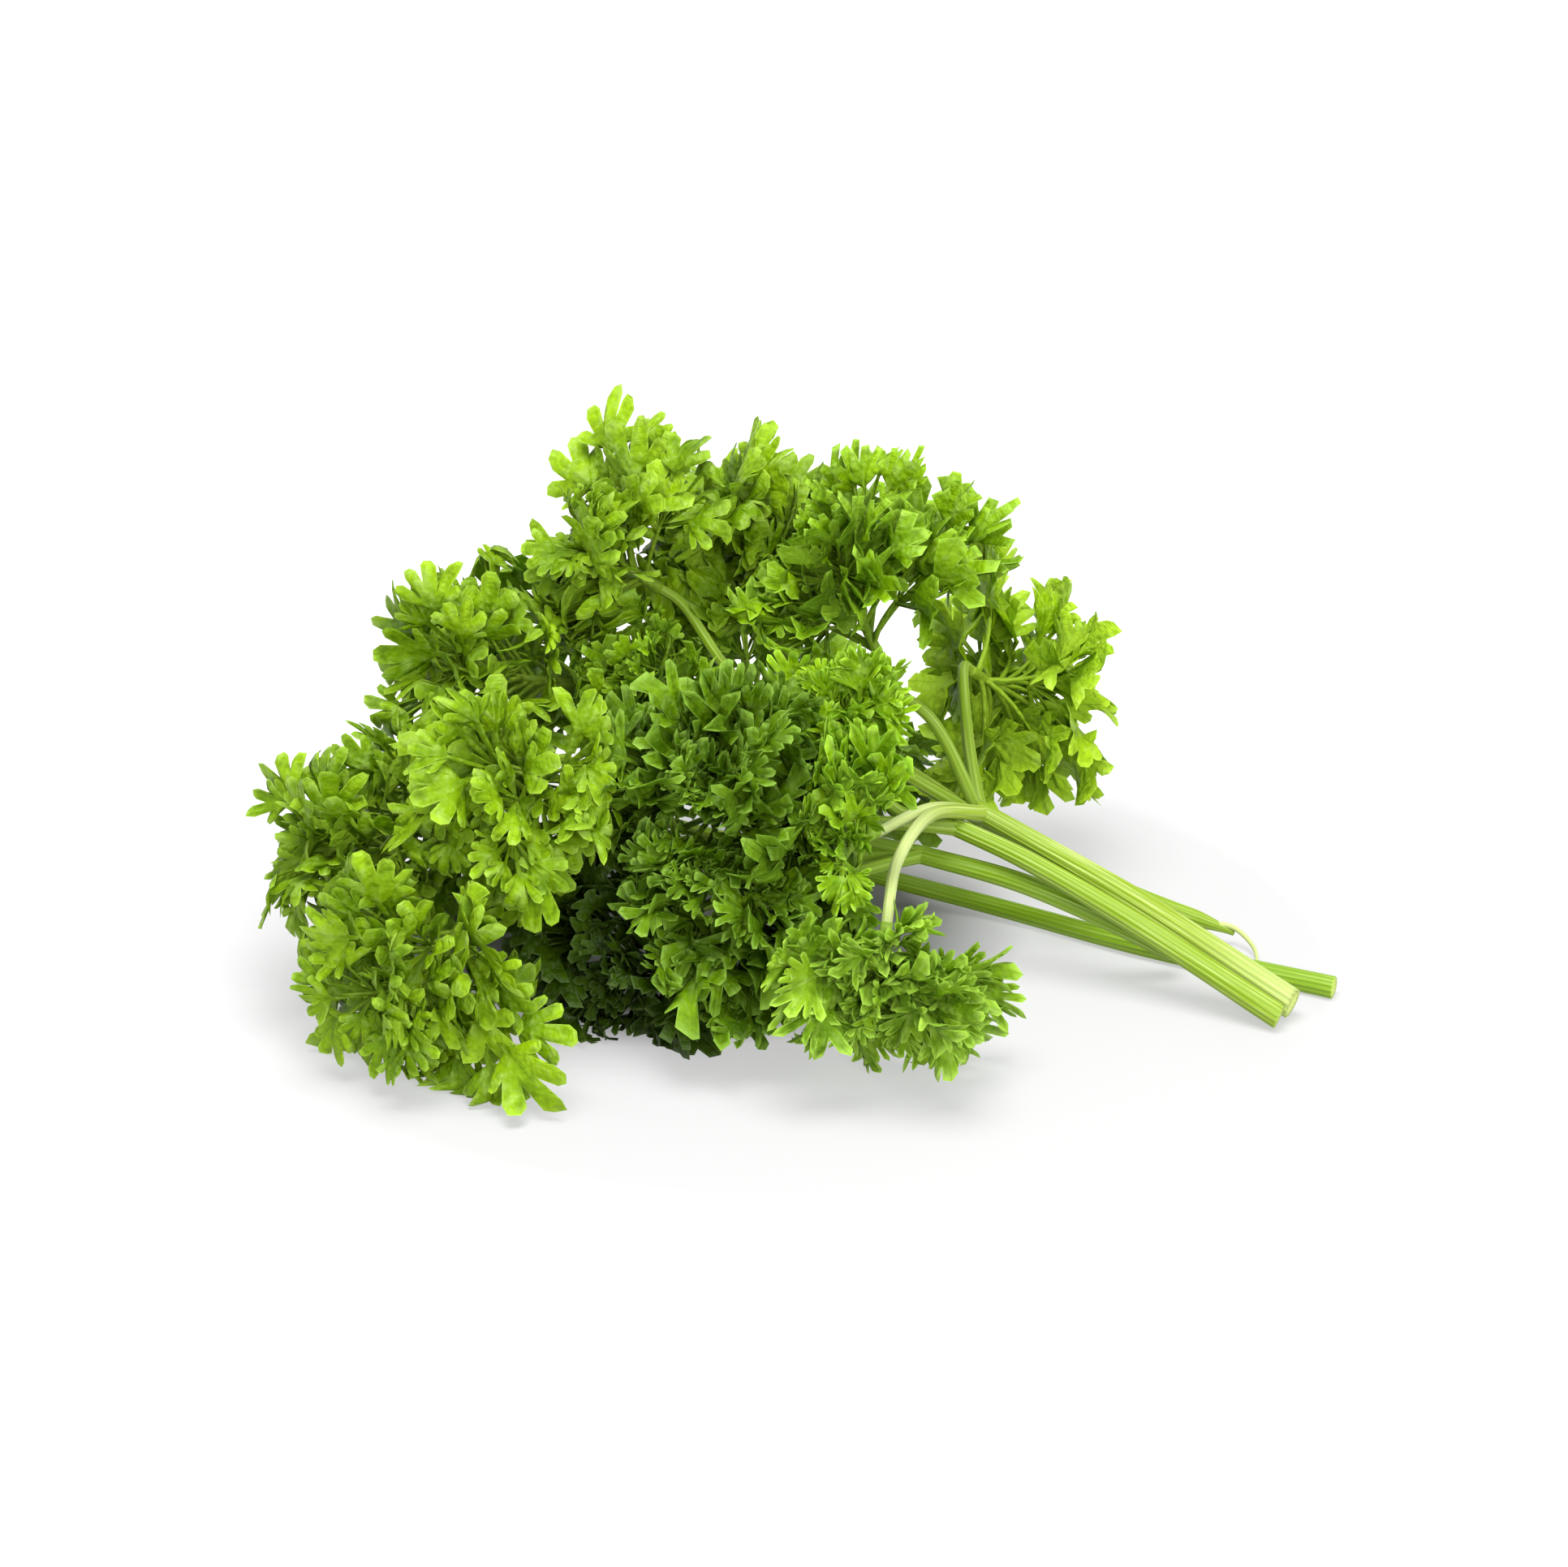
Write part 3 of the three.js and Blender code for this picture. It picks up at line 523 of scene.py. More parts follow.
# ---- Meshes ----
class Parts:
    """Gathers the closed shells of one piece, in millimetres of the layout, with values at each vertex."""

    def __init__(self):
        self.points = []
        self.faces = []
        self.values = {}
        self.count = 0

    def add(self, points, quads, **values):
        """points is (n, 3) and quads (m, 4), with a quad's last corner repeated where it is a triangle."""
        size = len(points)
        for name in set(self.values) | set(values):
            column = self.values.setdefault(name, [np.zeros(self.count)])
            column.append(np.broadcast_to(np.asarray(values.get(name, 0.0), float), (size,)))
        self.points.append(points)
        self.faces.append(quads + self.count)
        self.count += size

    def object(self, name, material):
        """The shells as one mesh object in metres, with sharp edges between knife vertices."""
        points = np.concatenate(self.points)
        quads = np.concatenate(self.faces)
        triangles = quads[:, 2] == quads[:, 3]
        sizes = np.where(triangles, 3, 4)
        keep = np.ones(quads.shape, bool)
        keep[triangles, 3] = False
        starts = np.concatenate([[0], np.cumsum(sizes)[:-1]])
        mesh = bpy.data.meshes.new(name)
        mesh.vertices.add(len(points))
        mesh.vertices.foreach_set("co", ((points - BUNCH_CENTRE) * MM).ravel())
        mesh.loops.add(int(sizes.sum()))
        mesh.loops.foreach_set("vertex_index", quads[keep])
        mesh.polygons.add(len(quads))
        mesh.polygons.foreach_set("loop_start", starts)
        mesh.polygons.foreach_set("loop_total", sizes)
        mesh.polygons.foreach_set("use_smooth", np.ones(len(quads), bool))
        mesh.update(calc_edges=True)
        if "knife" in self.values:
            knife = np.concatenate(self.values.pop("knife")) > 0
            pairs = np.zeros(len(mesh.edges) * 2, np.int32)
            mesh.edges.foreach_get("vertices", pairs)
            sharp = mesh.attributes.new("sharp_edge", "BOOLEAN", "EDGE")
            sharp.data.foreach_set("value", knife[pairs].reshape(-1, 2).all(axis=1))
        for key, columns in self.values.items():
            attribute = mesh.attributes.new(key, "FLOAT", "POINT")
            attribute.data.foreach_set("value", np.concatenate(columns))
        mesh.materials.append(material)
        piece = bpy.data.objects.new(name, mesh)
        bpy.context.scene.collection.objects.link(piece)
        return piece


def tube_frames(path):
    """Tangents of a path and two directions across it, from the direction that the path turns to least."""
    tangents = unit(np.gradient(path, axis=0))
    still = np.linalg.svd(tangents)[2][-1]
    across = unit(still - dot(tangents, still) * tangents)
    return tangents, across, np.cross(tangents, across)


def add_tube(parts, path, radii, around, ribs=0, depth=0.0, cut=False, slant=0.0, **values):
    """A closed tube: rings of a ribbed circle along the path, radius times 1 less depth times half of 1 less
    the cosine of ribs turns, and end rings that close in on the path. A cut end is dished and slants. No
    point goes under the table."""
    tangents, across, over = tube_frames(path)
    turn = 2 * np.pi * np.arange(around) / around
    rib = 0.5 - 0.5 * np.cos(ribs * turn) if ribs else np.zeros(around)
    section = 1 - depth * rib
    radius = np.broadcast_to(np.asarray(radii, float), (len(path),))
    cap = len(CAP_SCALE)
    dish = CUT_CAP if cut else ROUND_CAP
    rows = np.concatenate([np.zeros(cap, int), np.arange(len(path)), np.full(cap, len(path) - 1)])
    scale = np.concatenate([CAP_SCALE[::-1], np.ones(len(path)), CAP_SCALE])
    end = np.concatenate([dish[::-1], np.zeros(len(path)), dish])
    side = np.concatenate([-np.ones(cap), np.zeros(len(path)), np.ones(cap)])
    edge = radius[rows, None] * scale[:, None] * mix(1.0, section, np.clip(scale, 0, 1)[:, None] ** 4)
    lean = slant * np.exp(-np.arange(len(rows)) / SLANT_RINGS)[:, None] * edge * np.sin(turn)
    ahead = (side * end * radius[rows])[:, None] + lean
    grid = path[rows][:, None] + tangents[rows][:, None] * ahead[..., None]
    grid = grid + across[rows][:, None] * (edge * np.cos(turn))[..., None]
    grid = grid + over[rows][:, None] * (edge * np.sin(turn))[..., None]
    grid[..., 2] = np.maximum(grid[..., 2], 0)
    poles = np.stack([grid[0].mean(0), grid[-1].mean(0)])
    count = len(rows)
    index = np.arange(count * around).reshape(count, around)
    nexts = np.roll(index, -1, axis=1)
    body = np.stack([index[:-1], nexts[:-1], nexts[1:], index[1:]], axis=-1).reshape(-1, 4)
    first = np.full(around, count * around)
    head = np.stack([first, nexts[0], index[0], index[0]], axis=-1)
    tail = np.stack([first + 1, index[-1], nexts[-1], nexts[-1]], axis=-1)
    run = np.concatenate([[0], np.cumsum(np.linalg.norm(np.diff(path, axis=0), axis=1))])[rows]
    flat = {
        "around": np.broadcast_to(turn / (2 * np.pi), (count, around)),
        "groove": np.broadcast_to(rib * (side == 0)[:, None], (count, around)),
        "along": np.broadcast_to(run[:, None], (count, around)),
        "core": np.broadcast_to((1 - scale)[:, None], (count, around)),
        "cut": np.broadcast_to((side == -1)[:, None] * (1.0 if cut else 0.0), (count, around)),
    }
    for key, value in values.items():
        value = np.broadcast_to(np.asarray(value, float), (len(path),))[rows]
        flat[key] = np.broadcast_to(value[:, None], (count, around))
    ends = {key: np.concatenate([value.ravel(), [value[0, 0], value[-1, 0]]]) for key, value in flat.items()}
    ends["core"][-2:] = 1
    ends["groove"][-2:] = 0
    parts.add(np.vstack([grid.reshape(-1, 3), poles]), np.concatenate([body, head, tail]), **ends)


def add_blades(parts, middle, thickness, **values):
    """Closed thin blades from their middle surfaces, an array (blades, columns, rows, 3). Both faces stand
    half the thickness off the middle along its normal, which is the cross product of the grid's two
    directions, and they meet in a thin margin all round."""
    blades, columns, rows, _ = middle.shape
    normals = unit(np.cross(np.gradient(middle, axis=1), np.gradient(middle, axis=2)))
    rim = np.ones((columns, rows), bool)
    rim[1:-1, 1:-1] = False
    half = np.where(rim, 0, np.broadcast_to(thickness, middle.shape[:3]) / 2)[..., None]
    upper = middle + normals * half
    lower = middle - normals * half
    inner = ~rim
    top = np.arange(columns * rows).reshape(columns, rows)
    low = top.copy()
    low[inner] = columns * rows + np.arange(inner.sum())
    quads = []
    for sheet, order in ((top, (0, 1, 2, 3)), (low, (3, 2, 1, 0))):
        corners = [sheet[:-1, :-1], sheet[1:, :-1], sheet[1:, 1:], sheet[:-1, 1:]]
        quads.append(np.stack([corners[k] for k in order], axis=-1).reshape(-1, 4))
    quads = np.concatenate(quads)
    size = columns * rows + int(inner.sum())
    points = np.concatenate([upper.reshape(blades, -1, 3), lower[:, inner]], axis=1)
    quads = (quads + size * np.arange(blades)[:, None, None]).reshape(-1, 4)
    flat = {}
    for key, value in values.items():
        value = np.broadcast_to(value, middle.shape[:3])
        flat[key] = np.concatenate([value.reshape(blades, -1), value[:, inner]], axis=1).ravel()
    under = np.zeros((blades, size))
    under[:, columns * rows:] = 1
    under[:, top[rim]] = 0.5
    knife = np.zeros((blades, size))
    knife[:, top[rim]] = 1
    parts.add(points.reshape(-1, 3), quads, under=under.ravel(), knife=knife.ravel(), **flat)


# ---- Sprays ----
def spray_frame(spray):
    """The frame of a spray: its root, its axis from root to tip and that length, the side that it faces, and
    the third direction across."""
    root = np.array(spray["root"], float)
    axis = np.array(spray["tip"], float) - root
    reach = np.linalg.norm(axis)
    axis = axis / reach
    face = np.array(spray["face"], float)
    face = unit(face - dot(face, axis) * axis)
    return root, axis, reach, face, np.cross(axis, face)


def middle_of(spray):
    """Half way from root to tip."""
    return (np.array(spray["root"], float) + np.array(spray["tip"], float)) / 2


def room_of(spray):
    """The mean of half a spray's length and half its width."""
    reach = np.linalg.norm(np.array(spray["tip"], float) - np.array(spray["root"], float))
    return (reach / 2 + spray["breadth"]) / 2


def bend_clear(spray, points, slack=1.0):
    """Sprays that grow side by side bend clear of each other. Each keeps to its own side of a wall to every
    neighbour and above the table, and what would reach past is drawn in towards the spray's middle, the more
    the further out it is: free share plus room times 1 less e to the minus excess over room. Slack moves the
    walls to the neighbours out or in, leaf by leaf, so that the sprays mingle."""
    middle = middle_of(spray)
    normals = [np.array([0.0, 0.0, -1.0])]
    reaches = [middle[2] - TABLE_CONTACT]
    for other in SPRAYS.values():
        if other is spray:
            continue
        normal = middle_of(other) - middle
        distance = np.linalg.norm(normal)
        share = (distance**2 + room_of(spray) ** 2 - room_of(other) ** 2) / (2 * distance)
        normals.append(normal / distance)
        reaches.append(share - WALL_ROOM)
    arm = points - middle
    pushes = arm @ (np.array(normals) / np.array(reaches)[:, None]).T
    pressed = np.maximum(pushes[..., 0], pushes[..., 1:].max(-1) / slack)
    room = 1 - FREE_SHARE
    kept = FREE_SHARE + room * (1 - np.exp(np.minimum(FREE_SHARE - pressed, 0) / room))
    scale = np.where(pressed <= FREE_SHARE, 1, kept / np.maximum(pressed, 1e-6))
    return middle + arm * scale[..., None]


def pinnae_of(spray, seed, extra):
    """The pinnae of a spray as arrays, in a spiral from the end of the rachis to its foot. Each grows out
    from the rachis and bends over, so that its fan lies on an egg-shaped outline with its upper face
    outwards."""
    root, axis, reach, face, across = spray_frame(spray)
    last = spray["pinnae"] - 1
    k = np.arange(0, last + 0.01, 1 / (1 + extra))[:, None]
    whole = np.abs(k - np.round(k)) < 0.01
    rank = k / last
    share = np.where(whole, 1.0, INNER_SHARE)
    lean = (mix(LEANS[0], LEANS[1], rank) + LEAN_SPREAD * draw(seed, k)) * share
    turn = GOLDEN_ANGLE * k * np.where(whole, 1, 1 + extra) + seed + TURN_SPREAD * draw(seed, k + 50)
    outward = axis * np.cos(lean) + face * np.sin(lean) * np.cos(turn) + across * np.sin(lean) * np.sin(turn)
    tip = root + axis * reach * (EGG_MIDDLE + EGG_HALF * np.cos(lean)) * share
    tip = tip + face * spray["breadth"] * spray["flat"] * np.sin(lean) * np.cos(turn) * share
    tip = tip + across * spray["breadth"] * np.sin(lean) * np.sin(turn) * share
    base = root + axis * reach * RACHIS_SHARE * (1 - FOOT_SHARE * rank)
    chord = tip - base
    straight = unit(chord)
    upper = axis + outward * OUTWARD + face * FACING
    upper = unit(upper - dot(upper, straight) * straight)
    twist = TWIST_SPREAD * draw(seed, k + 100)
    upper = upper * np.cos(twist) + np.cross(straight, upper) * np.sin(twist)
    arch = mix(ARCHES[0], ARCHES[1], rank)
    along = straight * np.cos(arch / 2) + upper * np.sin(arch / 2)
    up = upper * np.cos(arch / 2) - straight * np.sin(arch / 2)
    length = np.linalg.norm(chord, axis=1, keepdims=True) * (arch / 2) / np.sin(arch / 2)
    return {
        "base": base, "along": along, "up": up, "side": np.cross(along, up), "arch": arch, "length": length,
        "waves": WAVES[0] + WAVES[1] * draw(seed, k + 300), "phase": PHASE_SPREAD * draw(seed, k + 400),
        "inner": ~whole,
    }


def bent(pinnae, side, along, rise):
    """Points of pinnae that are given on the flat, as (pinna, ...) arrays: the midrib bends back evenly."""
    extra = (1,) * (np.ndim(side) - 1)
    curve = (pinnae["arch"] / pinnae["length"]).reshape(-1, *extra)
    axes = [pinnae[key].reshape(-1, *extra, 3) for key in ("base", "side", "along", "up")]
    turn = along * curve
    out = 1 / curve + rise
    points = axes[0] + axes[1] * side[..., None] + axes[2] * (np.sin(turn) * out)[..., None]
    return points + axes[3] * (np.cos(turn) * out - 1 / curve)[..., None]


def leaflets_of(pinnae, habit, seed):
    """The leaflets of all pinnae as arrays over every leaflet: its pinna, where it starts and how long it is,
    in shares of its fan's radius, and its directions ahead, aside and up, as the fan's along, side and
    rise."""
    shape = count, number = len(pinnae["base"]), habit["leaflets"]
    rank = np.linspace(-1, 1, number) + PLACE_SPREAD * draws(seed, 1, *shape)
    angle = rank * FAN_HALF_ANGLE * LEAFLET_ARC
    second = np.arange(number) % 2 * (number > CROWDED)
    begin = (START - habit["size"] - SECOND_ROW * second) * (1 - SIDE_DRAW * rank**2)
    begin = begin * (1 + START_SPREAD * draws(seed, 2, *shape))
    size = habit["size"] * (1 - SIDE_SHRINK * rank**2) * (1 + SIZE_SPREAD * draws(seed, 3, *shape))
    heading = angle * SPLAY + habit["turn"] * draws(seed, 4, *shape)
    pitch = habit["lift"] + habit["pitch"] * draws(seed, 5, *shape)
    roll = habit["roll"] * draws(seed, 6, *shape)
    rise = HEIGHT_SPREAD * draws(seed, 7, *shape)
    zero = np.zeros_like(rank)
    level = np.stack([np.cos(heading), np.sin(heading), zero], axis=-1)
    aside = np.stack([-np.sin(heading), np.cos(heading), zero], axis=-1)
    pole = np.array([0.0, 0.0, 1.0])
    pitch, roll = pitch[..., None], roll[..., None]
    ahead = level * np.cos(pitch) + pole * np.sin(pitch)
    up = pole * np.cos(pitch) - level * np.sin(pitch)
    made = {
        "pinna": np.broadcast_to(np.arange(count)[:, None], shape),
        "start": np.stack([begin * np.cos(angle), begin * np.sin(angle), rise], axis=-1),
        "size": size, "ahead": ahead, "aside": aside * np.cos(roll) + up * np.sin(roll),
        "up": up * np.cos(roll) - aside * np.sin(roll),
    }
    return {key: value.reshape(count * number, *value.shape[2:]) for key, value in made.items()}


def lobed_blades(leaflets, habit, seed):
    """The blades of all leaflets, as (leaflet, column, row) arrays of the way ahead, aside and up, in shares
    of the leaflet's length. A lobe's outline is its notch plus what is left to its tip times
    (1 - |g|^p)^(1/p), where g runs from -1 to 1 across the lobe. The blade bows along its rib, is cupped by
    the square of the way aside, ruffles as a sine towards its margin, and each lobe bends, rolls and sways
    above its own cut."""
    count = len(leaflets["size"])
    lobes, columns, rows = habit["lobes"], habit["columns"], habit["rows"]
    steps = np.arange(lobes * columns + 1)
    lobe = np.minimum(steps // columns, lobes - 1)
    g = np.sin(((steps - lobe * columns) / columns - 0.5) * np.pi)
    f = (2 * lobe + 1 + g) / lobes - 1
    mids = (2 * np.arange(lobes) + 1) / lobes - 1
    tips = (1 - habit["slope"] * mids**2) * (1 + LOBE_SPREAD * draws(seed, 11, count, lobes))
    lower = np.minimum(np.hstack([tips[:, :1], tips]), np.hstack([tips, tips[:, -1:]]))
    cuts = lower * habit["notch"] * (1 + CUT_SPREAD * draws(seed, 12, count, lobes + 1))
    cuts[:, [0, -1]] *= OUTER_CUT
    notch = cuts[:, np.where(g < 0, lobe, lobe + 1)][:, :, None]
    tip = tips[:, lobe][:, :, None]
    g, f = g[:, None], f[:, None]
    p = habit["roundness"]
    margin = notch + (tip - notch) * (1 - np.abs(g) ** p) ** (1 / p)
    spread = 1 - (1 - np.linspace(0, 1, rows)) ** habit["crowd"]
    reach = BLADE_FOOT + (margin - BLADE_FOOT) * spread
    above = np.maximum((reach - notch) / (tip - notch), 0)
    waist = habit["waist"] * ease(WAIST_RISE * above) * (1 - WAIST_EASE * ease(2 * above - 1))
    angle = (f - g * waist / lobes) * habit["half"]

    def per_leaf(purpose, amount):
        return amount * draws(seed, purpose, count, 1, 1)

    def per_lobe(purpose, amount):
        return (amount * draws(seed, purpose, count, lobes))[:, lobe][:, :, None]

    ahead = reach * np.cos(angle)
    aside = reach * np.sin(angle) + per_lobe(13, habit["lobe_sway"]) * above**2
    bowed, rise = bow(ahead, habit["droop"] + per_leaf(14, habit["curl"]))
    rise = rise + (habit["cup"] + per_leaf(15, CUP_SPREAD)) * aside**2
    folds = np.sin(habit["ruffles"] * np.pi * f + per_leaf(16, SHAKE))
    rise = rise + habit["ruffle"] * reach ** habit["gather"] * folds
    rise = rise + per_lobe(17, habit["lobe_curl"]) * (tip - notch) * above**2
    rise = rise + per_lobe(18, habit["lobe_roll"]) * g * reach * habit["half"] / lobes * ease(above)
    shake = per_leaf(19, SHAKE)
    dimples = np.sin(habit["crumples"] * ahead + shake) * np.sin(habit["crumples"] * aside - shake)
    within = ease(DIMPLE_RISE * reach)
    rise = rise + habit["crumple"] * within * dimples
    values = {
        "rib": np.abs(f) * reach, "vein": np.abs(g) * reach, "reach": reach,
        "margin": np.broadcast_to(spread, reach.shape),
        "tone": np.broadcast_to(per_leaf(20, 1.0), reach.shape),
        # crest: the height of the folds and dimples, which the leaf's colour reads for a painted highlight on
        # crests and painted shade in troughs.
        "crest": FOLD_CREST * reach ** habit["gather"] * folds + DIMPLE_CREST * within * dimples,
    }
    return bowed, aside, rise, values


def add_leaves(parts, spray, seed, thickness):
    """All pinnae of one spray: each a stalk that runs on as a rib, and a fan of leaflets on it. A stalk whose
    far end is in a gap is left out with its leaflets."""
    habit = HABITS[spray["habit"]]
    pinnae = pinnae_of(spray, seed, habit["extra"])
    inner = pinnae["inner"][:, 0]
    for group, cut in ((~inner, habit), (inner, {**habit, **INNER_CUTS[spray["habit"]]})):
        chosen = {key: value[group] for key, value in pinnae.items()}
        add_fans(parts, spray, chosen, cut, seed + 0.5 * cut["lobes"], thickness)
    walk = np.linspace(0, 1, PINNA_STALK_RINGS)
    flat = np.zeros((1, PINNA_STALK_RINGS))
    for k in range(len(inner)):
        one = {key: value[k:k + 1] for key, value in pinnae.items()}
        reach = float(pinnae["length"][k, 0]) * PINNA_STALK_REACH
        line = bent(one, flat, (walk * reach)[None], flat)[0]
        if not outside_gaps(line[-1:])[0] and not spray.get("fills", False):
            continue
        radii = mix(PINNA_STALK_RADII[0], PINNA_STALK_RADII[1], walk**PINNA_STALK_TAPER)
        line = settle(bend_clear(spray, line))
        add_tube(parts, line, radii, PINNA_STALK_SIDES, tone=0.0, reach=0.1, stem=1 - STEM_FADE * walk)


def add_fans(parts, spray, pinnae, habit, seed, thickness):
    """The fans of some pinnae of a spray, leaflet by leaflet, waved and bent back as each pinna is."""
    leaflets = leaflets_of(pinnae, habit, seed)
    ahead, aside, up, values = lobed_blades(leaflets, habit, seed)
    own = {key: value[leaflets["pinna"]] for key, value in pinnae.items()}
    radius = own["length"][:, :, None] * FAN_SHARE
    size = np.minimum(leaflets["size"][:, None, None], LONGEST_LEAFLET / radius)
    axes = [leaflets[key][:, None, None] for key in ("start", "ahead", "aside", "up")]
    fan = axes[0] + axes[1] * (ahead * size)[..., None]
    fan = fan + axes[2] * (aside * size)[..., None] + axes[3] * (up * size)[..., None]
    foot = np.zeros_like(fan[:, :, :1])
    foot[..., 1] = FOOT_HALF_WIDTH * np.linspace(-1, 1, fan.shape[1])[:, None]
    fan = np.concatenate([foot, fan], axis=2)
    values = {key: np.concatenate([value[:, :, :1], value], axis=2) for key, value in values.items()}
    across = np.linspace(-1, 1, fan.shape[1])[:, None] * leaflets["start"][:, 1][:, None, None]
    wave = np.sin(own["waves"][:, :, None] * np.pi * across + own["phase"][:, :, None])
    lift = spray["wave"] * RUFFLE * np.linalg.norm(fan[..., :2], axis=-1) * wave
    points = bent(own, fan[..., 1] * radius, fan[..., 0] * radius + own["length"][:, :, None] - radius,
                  (fan[..., 2] + lift) * radius)
    blade = thickness * (THINNING[0] - THINNING[1] * values["reach"])
    slack = MINGLE[0] + MINGLE[1] * draws(seed, 21, len(size), 1, 1)
    points = settle(bend_clear(spray, points, slack))
    free = outside_gaps(points.mean(axis=(1, 2))) | spray.get("fills", False)
    add_blades(parts, points[free], blade[free], **{key: value[free] for key, value in values.items()})


def outside_gaps(middles):
    """Which leaflets, by their middles, stand clear of the gaps."""
    tilted = (middles[:, 2] - GAP_LEVEL) * math.cos(GAP_TILT) + middles[:, 1] * math.sin(GAP_TILT)
    flat = np.stack([middles[:, 0], tilted], axis=1)
    free = np.ones(len(middles), bool)
    for gap in GAPS.values():
        line = np.array(gap["line"], float)
        for start, end in zip(line[:-1], line[1:]):
            way = end - start
            along = np.clip(dot(flat - start, way) / (way @ way), 0, 1)
            near = np.linalg.norm(flat - start - along * way, axis=1) < gap["half"]
            free &= ~(near & (middles[:, 1] < gap["back"]))
    return free


def settle(points):
    """Keeps points of leaf above the table."""
    lifted = points.copy()
    lifted[..., 2] = np.maximum(points[..., 2], LEAF_CLEARANCE)
    return lifted


def spray_piece(name, seed, thickness):
    """One spray: its rachis, from just inside the branch on, and its pinnae."""
    spray = SPRAYS[name]
    parts = Parts()
    root, axis, reach, _, _ = spray_frame(spray)
    walk = np.linspace(RACHIS_START, 1, RACHIS_RINGS)[:, None]
    line = bend_clear(spray, root + axis * walk * reach * RACHIS_SHARE)
    add_tube(parts, line, np.linspace(*RACHIS_RADII, RACHIS_RINGS), RACHIS_SIDES, tone=0.0, stem=1.0)
    add_leaves(parts, spray, seed, thickness)
    piece = parts.object("leaf_" + name, leaf_material(spray["finish"]))
    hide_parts(name)
    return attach(piece, "root")


# ---- Stalks ----
def branch_route(name):
    """A spray's branch, from inside its stalk at the fork, over its bends, to the spray's root."""
    spray = SPRAYS[name]
    route = np.array(STALKS[spray["stalk"]]["route"], float)
    root, axis, _, _, _ = spray_frame(spray)
    end = bend_clear(spray, root[None])[0]
    inside = mix(route[-1], route[-2], BRANCH_INSET)
    return np.vstack([inside, spray["via"], end - axis * BRANCH_RUN_IN, end + axis * BRANCH_LAP])


def stalk_piece(name, rib_depth, material):
    """One ribbed stalk with a cut end, and the branches that grow from it, which flare where they leave it. A
    torn stalk narrows to its end and runs out in a strip."""
    plan = STALKS[name]
    parts = Parts()
    path = spline(plan["route"], STALK_RINGS)
    radii = np.linspace(*plan["radii"], STALK_RINGS)
    pale = plan["pale"] * np.linspace(*STALK_FADE, STALK_RINGS)
    if "strand" in plan:
        radii *= mix(TORN_WIDTH, 1.0, ease(np.arange(STALK_RINGS) / TORN_RINGS))
        strip = spline(plan["strand"], STRAND_RINGS)
        add_tube(parts, strip, np.linspace(*STRAND_RADII, STRAND_RINGS), STRAND_SIDES, pale=1.0)
    add_tube(parts, path, radii, STALK_SIDES, STALK_RIBS, rib_depth, cut=True, slant=STALK_SLANT, pale=pale)
    walk = np.linspace(0, 1, BRANCH_RINGS)
    flare = BRANCH_FLARE[0] * np.exp(-walk * BRANCH_FLARE[1])
    girth = mix(BRANCH_RADII[0], BRANCH_RADII[1], walk) + flare
    for spray_name, spray in SPRAYS.items():
        if spray["stalk"] != name:
            continue
        line = spline(branch_route(spray_name), BRANCH_RINGS)
        pale = mix(plan["pale"], spray.get("pale", BRANCH_PALE), ease(walk * 2))
        add_tube(parts, line, girth, BRANCH_SIDES, BRANCH_RIBS, rib_depth, pale=pale)
    piece = parts.object("ribbed_" + name, material)
    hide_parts(name)
    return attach(piece, "root")


# ---- Materials ----
def node(tree, kind, inputs=None, **settings):
    """A node with its settings, and with each input linked to a socket or set to a value."""
    made = tree.nodes.new(kind)
    for key, value in settings.items():
        setattr(made, key, value)
    for key, value in (inputs or {}).items():
        if isinstance(value, bpy.types.NodeSocket):
            tree.links.new(value, made.inputs[key])
        else:
            made.inputs[key].default_value = value
    return made


def maths(tree, operation, a, b=0.0, c=0.0, clamp=False):
    return node(tree, "ShaderNodeMath", {0: a, 1: b, 2: c}, operation=operation, use_clamp=clamp).outputs[0]


def blend_colours(tree, share, a, b, blend="MIX"):
    made = node(tree, "ShaderNodeMix", {0: share, 6: a, 7: b}, data_type="RGBA", blend_type=blend)
    return made.outputs[2]


def reading(tree, name):
    """A value that the mesh holds at its vertices."""
    return node(tree, "ShaderNodeAttribute", attribute_name=name).outputs["Fac"]


def ramp(tree, value, slope, offset):
    """Slope times value plus offset, kept from 0 to 1."""
    return maths(tree, "MULTIPLY_ADD", value, slope, offset, clamp=True)


def centred(tree, value):
    return maths(tree, "SUBTRACT", value, 0.5)


def rgba(colour):
    return (*colour, 1.0)


def layer(tree, below, colour, mask, share=1.0):
    """A plain colour laid over another by a mask, and by no more than a share."""
    return blend_colours(tree, maths(tree, "MULTIPLY", mask, share), below, rgba(colour))


def roughen(tree, surface, height, roughness, look):
    """Sets a surface's roughness, its gloss and the relief of its finest detail."""
    tree.links.new(roughness, surface.inputs["Roughness"])
    bump = node(tree, "ShaderNodeBump", {
        "Strength": look["bump"], "Distance": look["bump_depth"], "Height": height,
    })
    tree.links.new(bump.outputs["Normal"], surface.inputs["Normal"])
    surface.inputs["Specular IOR Level"].default_value = look["specular"]


def group_sockets(tree, inputs, outputs):
    for name, kind, default in inputs:
        socket = tree.interface.new_socket(name, in_out="INPUT", socket_type=kind)
        if default is not None:
            socket.default_value = default
    for name, kind in outputs:
        tree.interface.new_socket(name, in_out="OUTPUT", socket_type=kind)


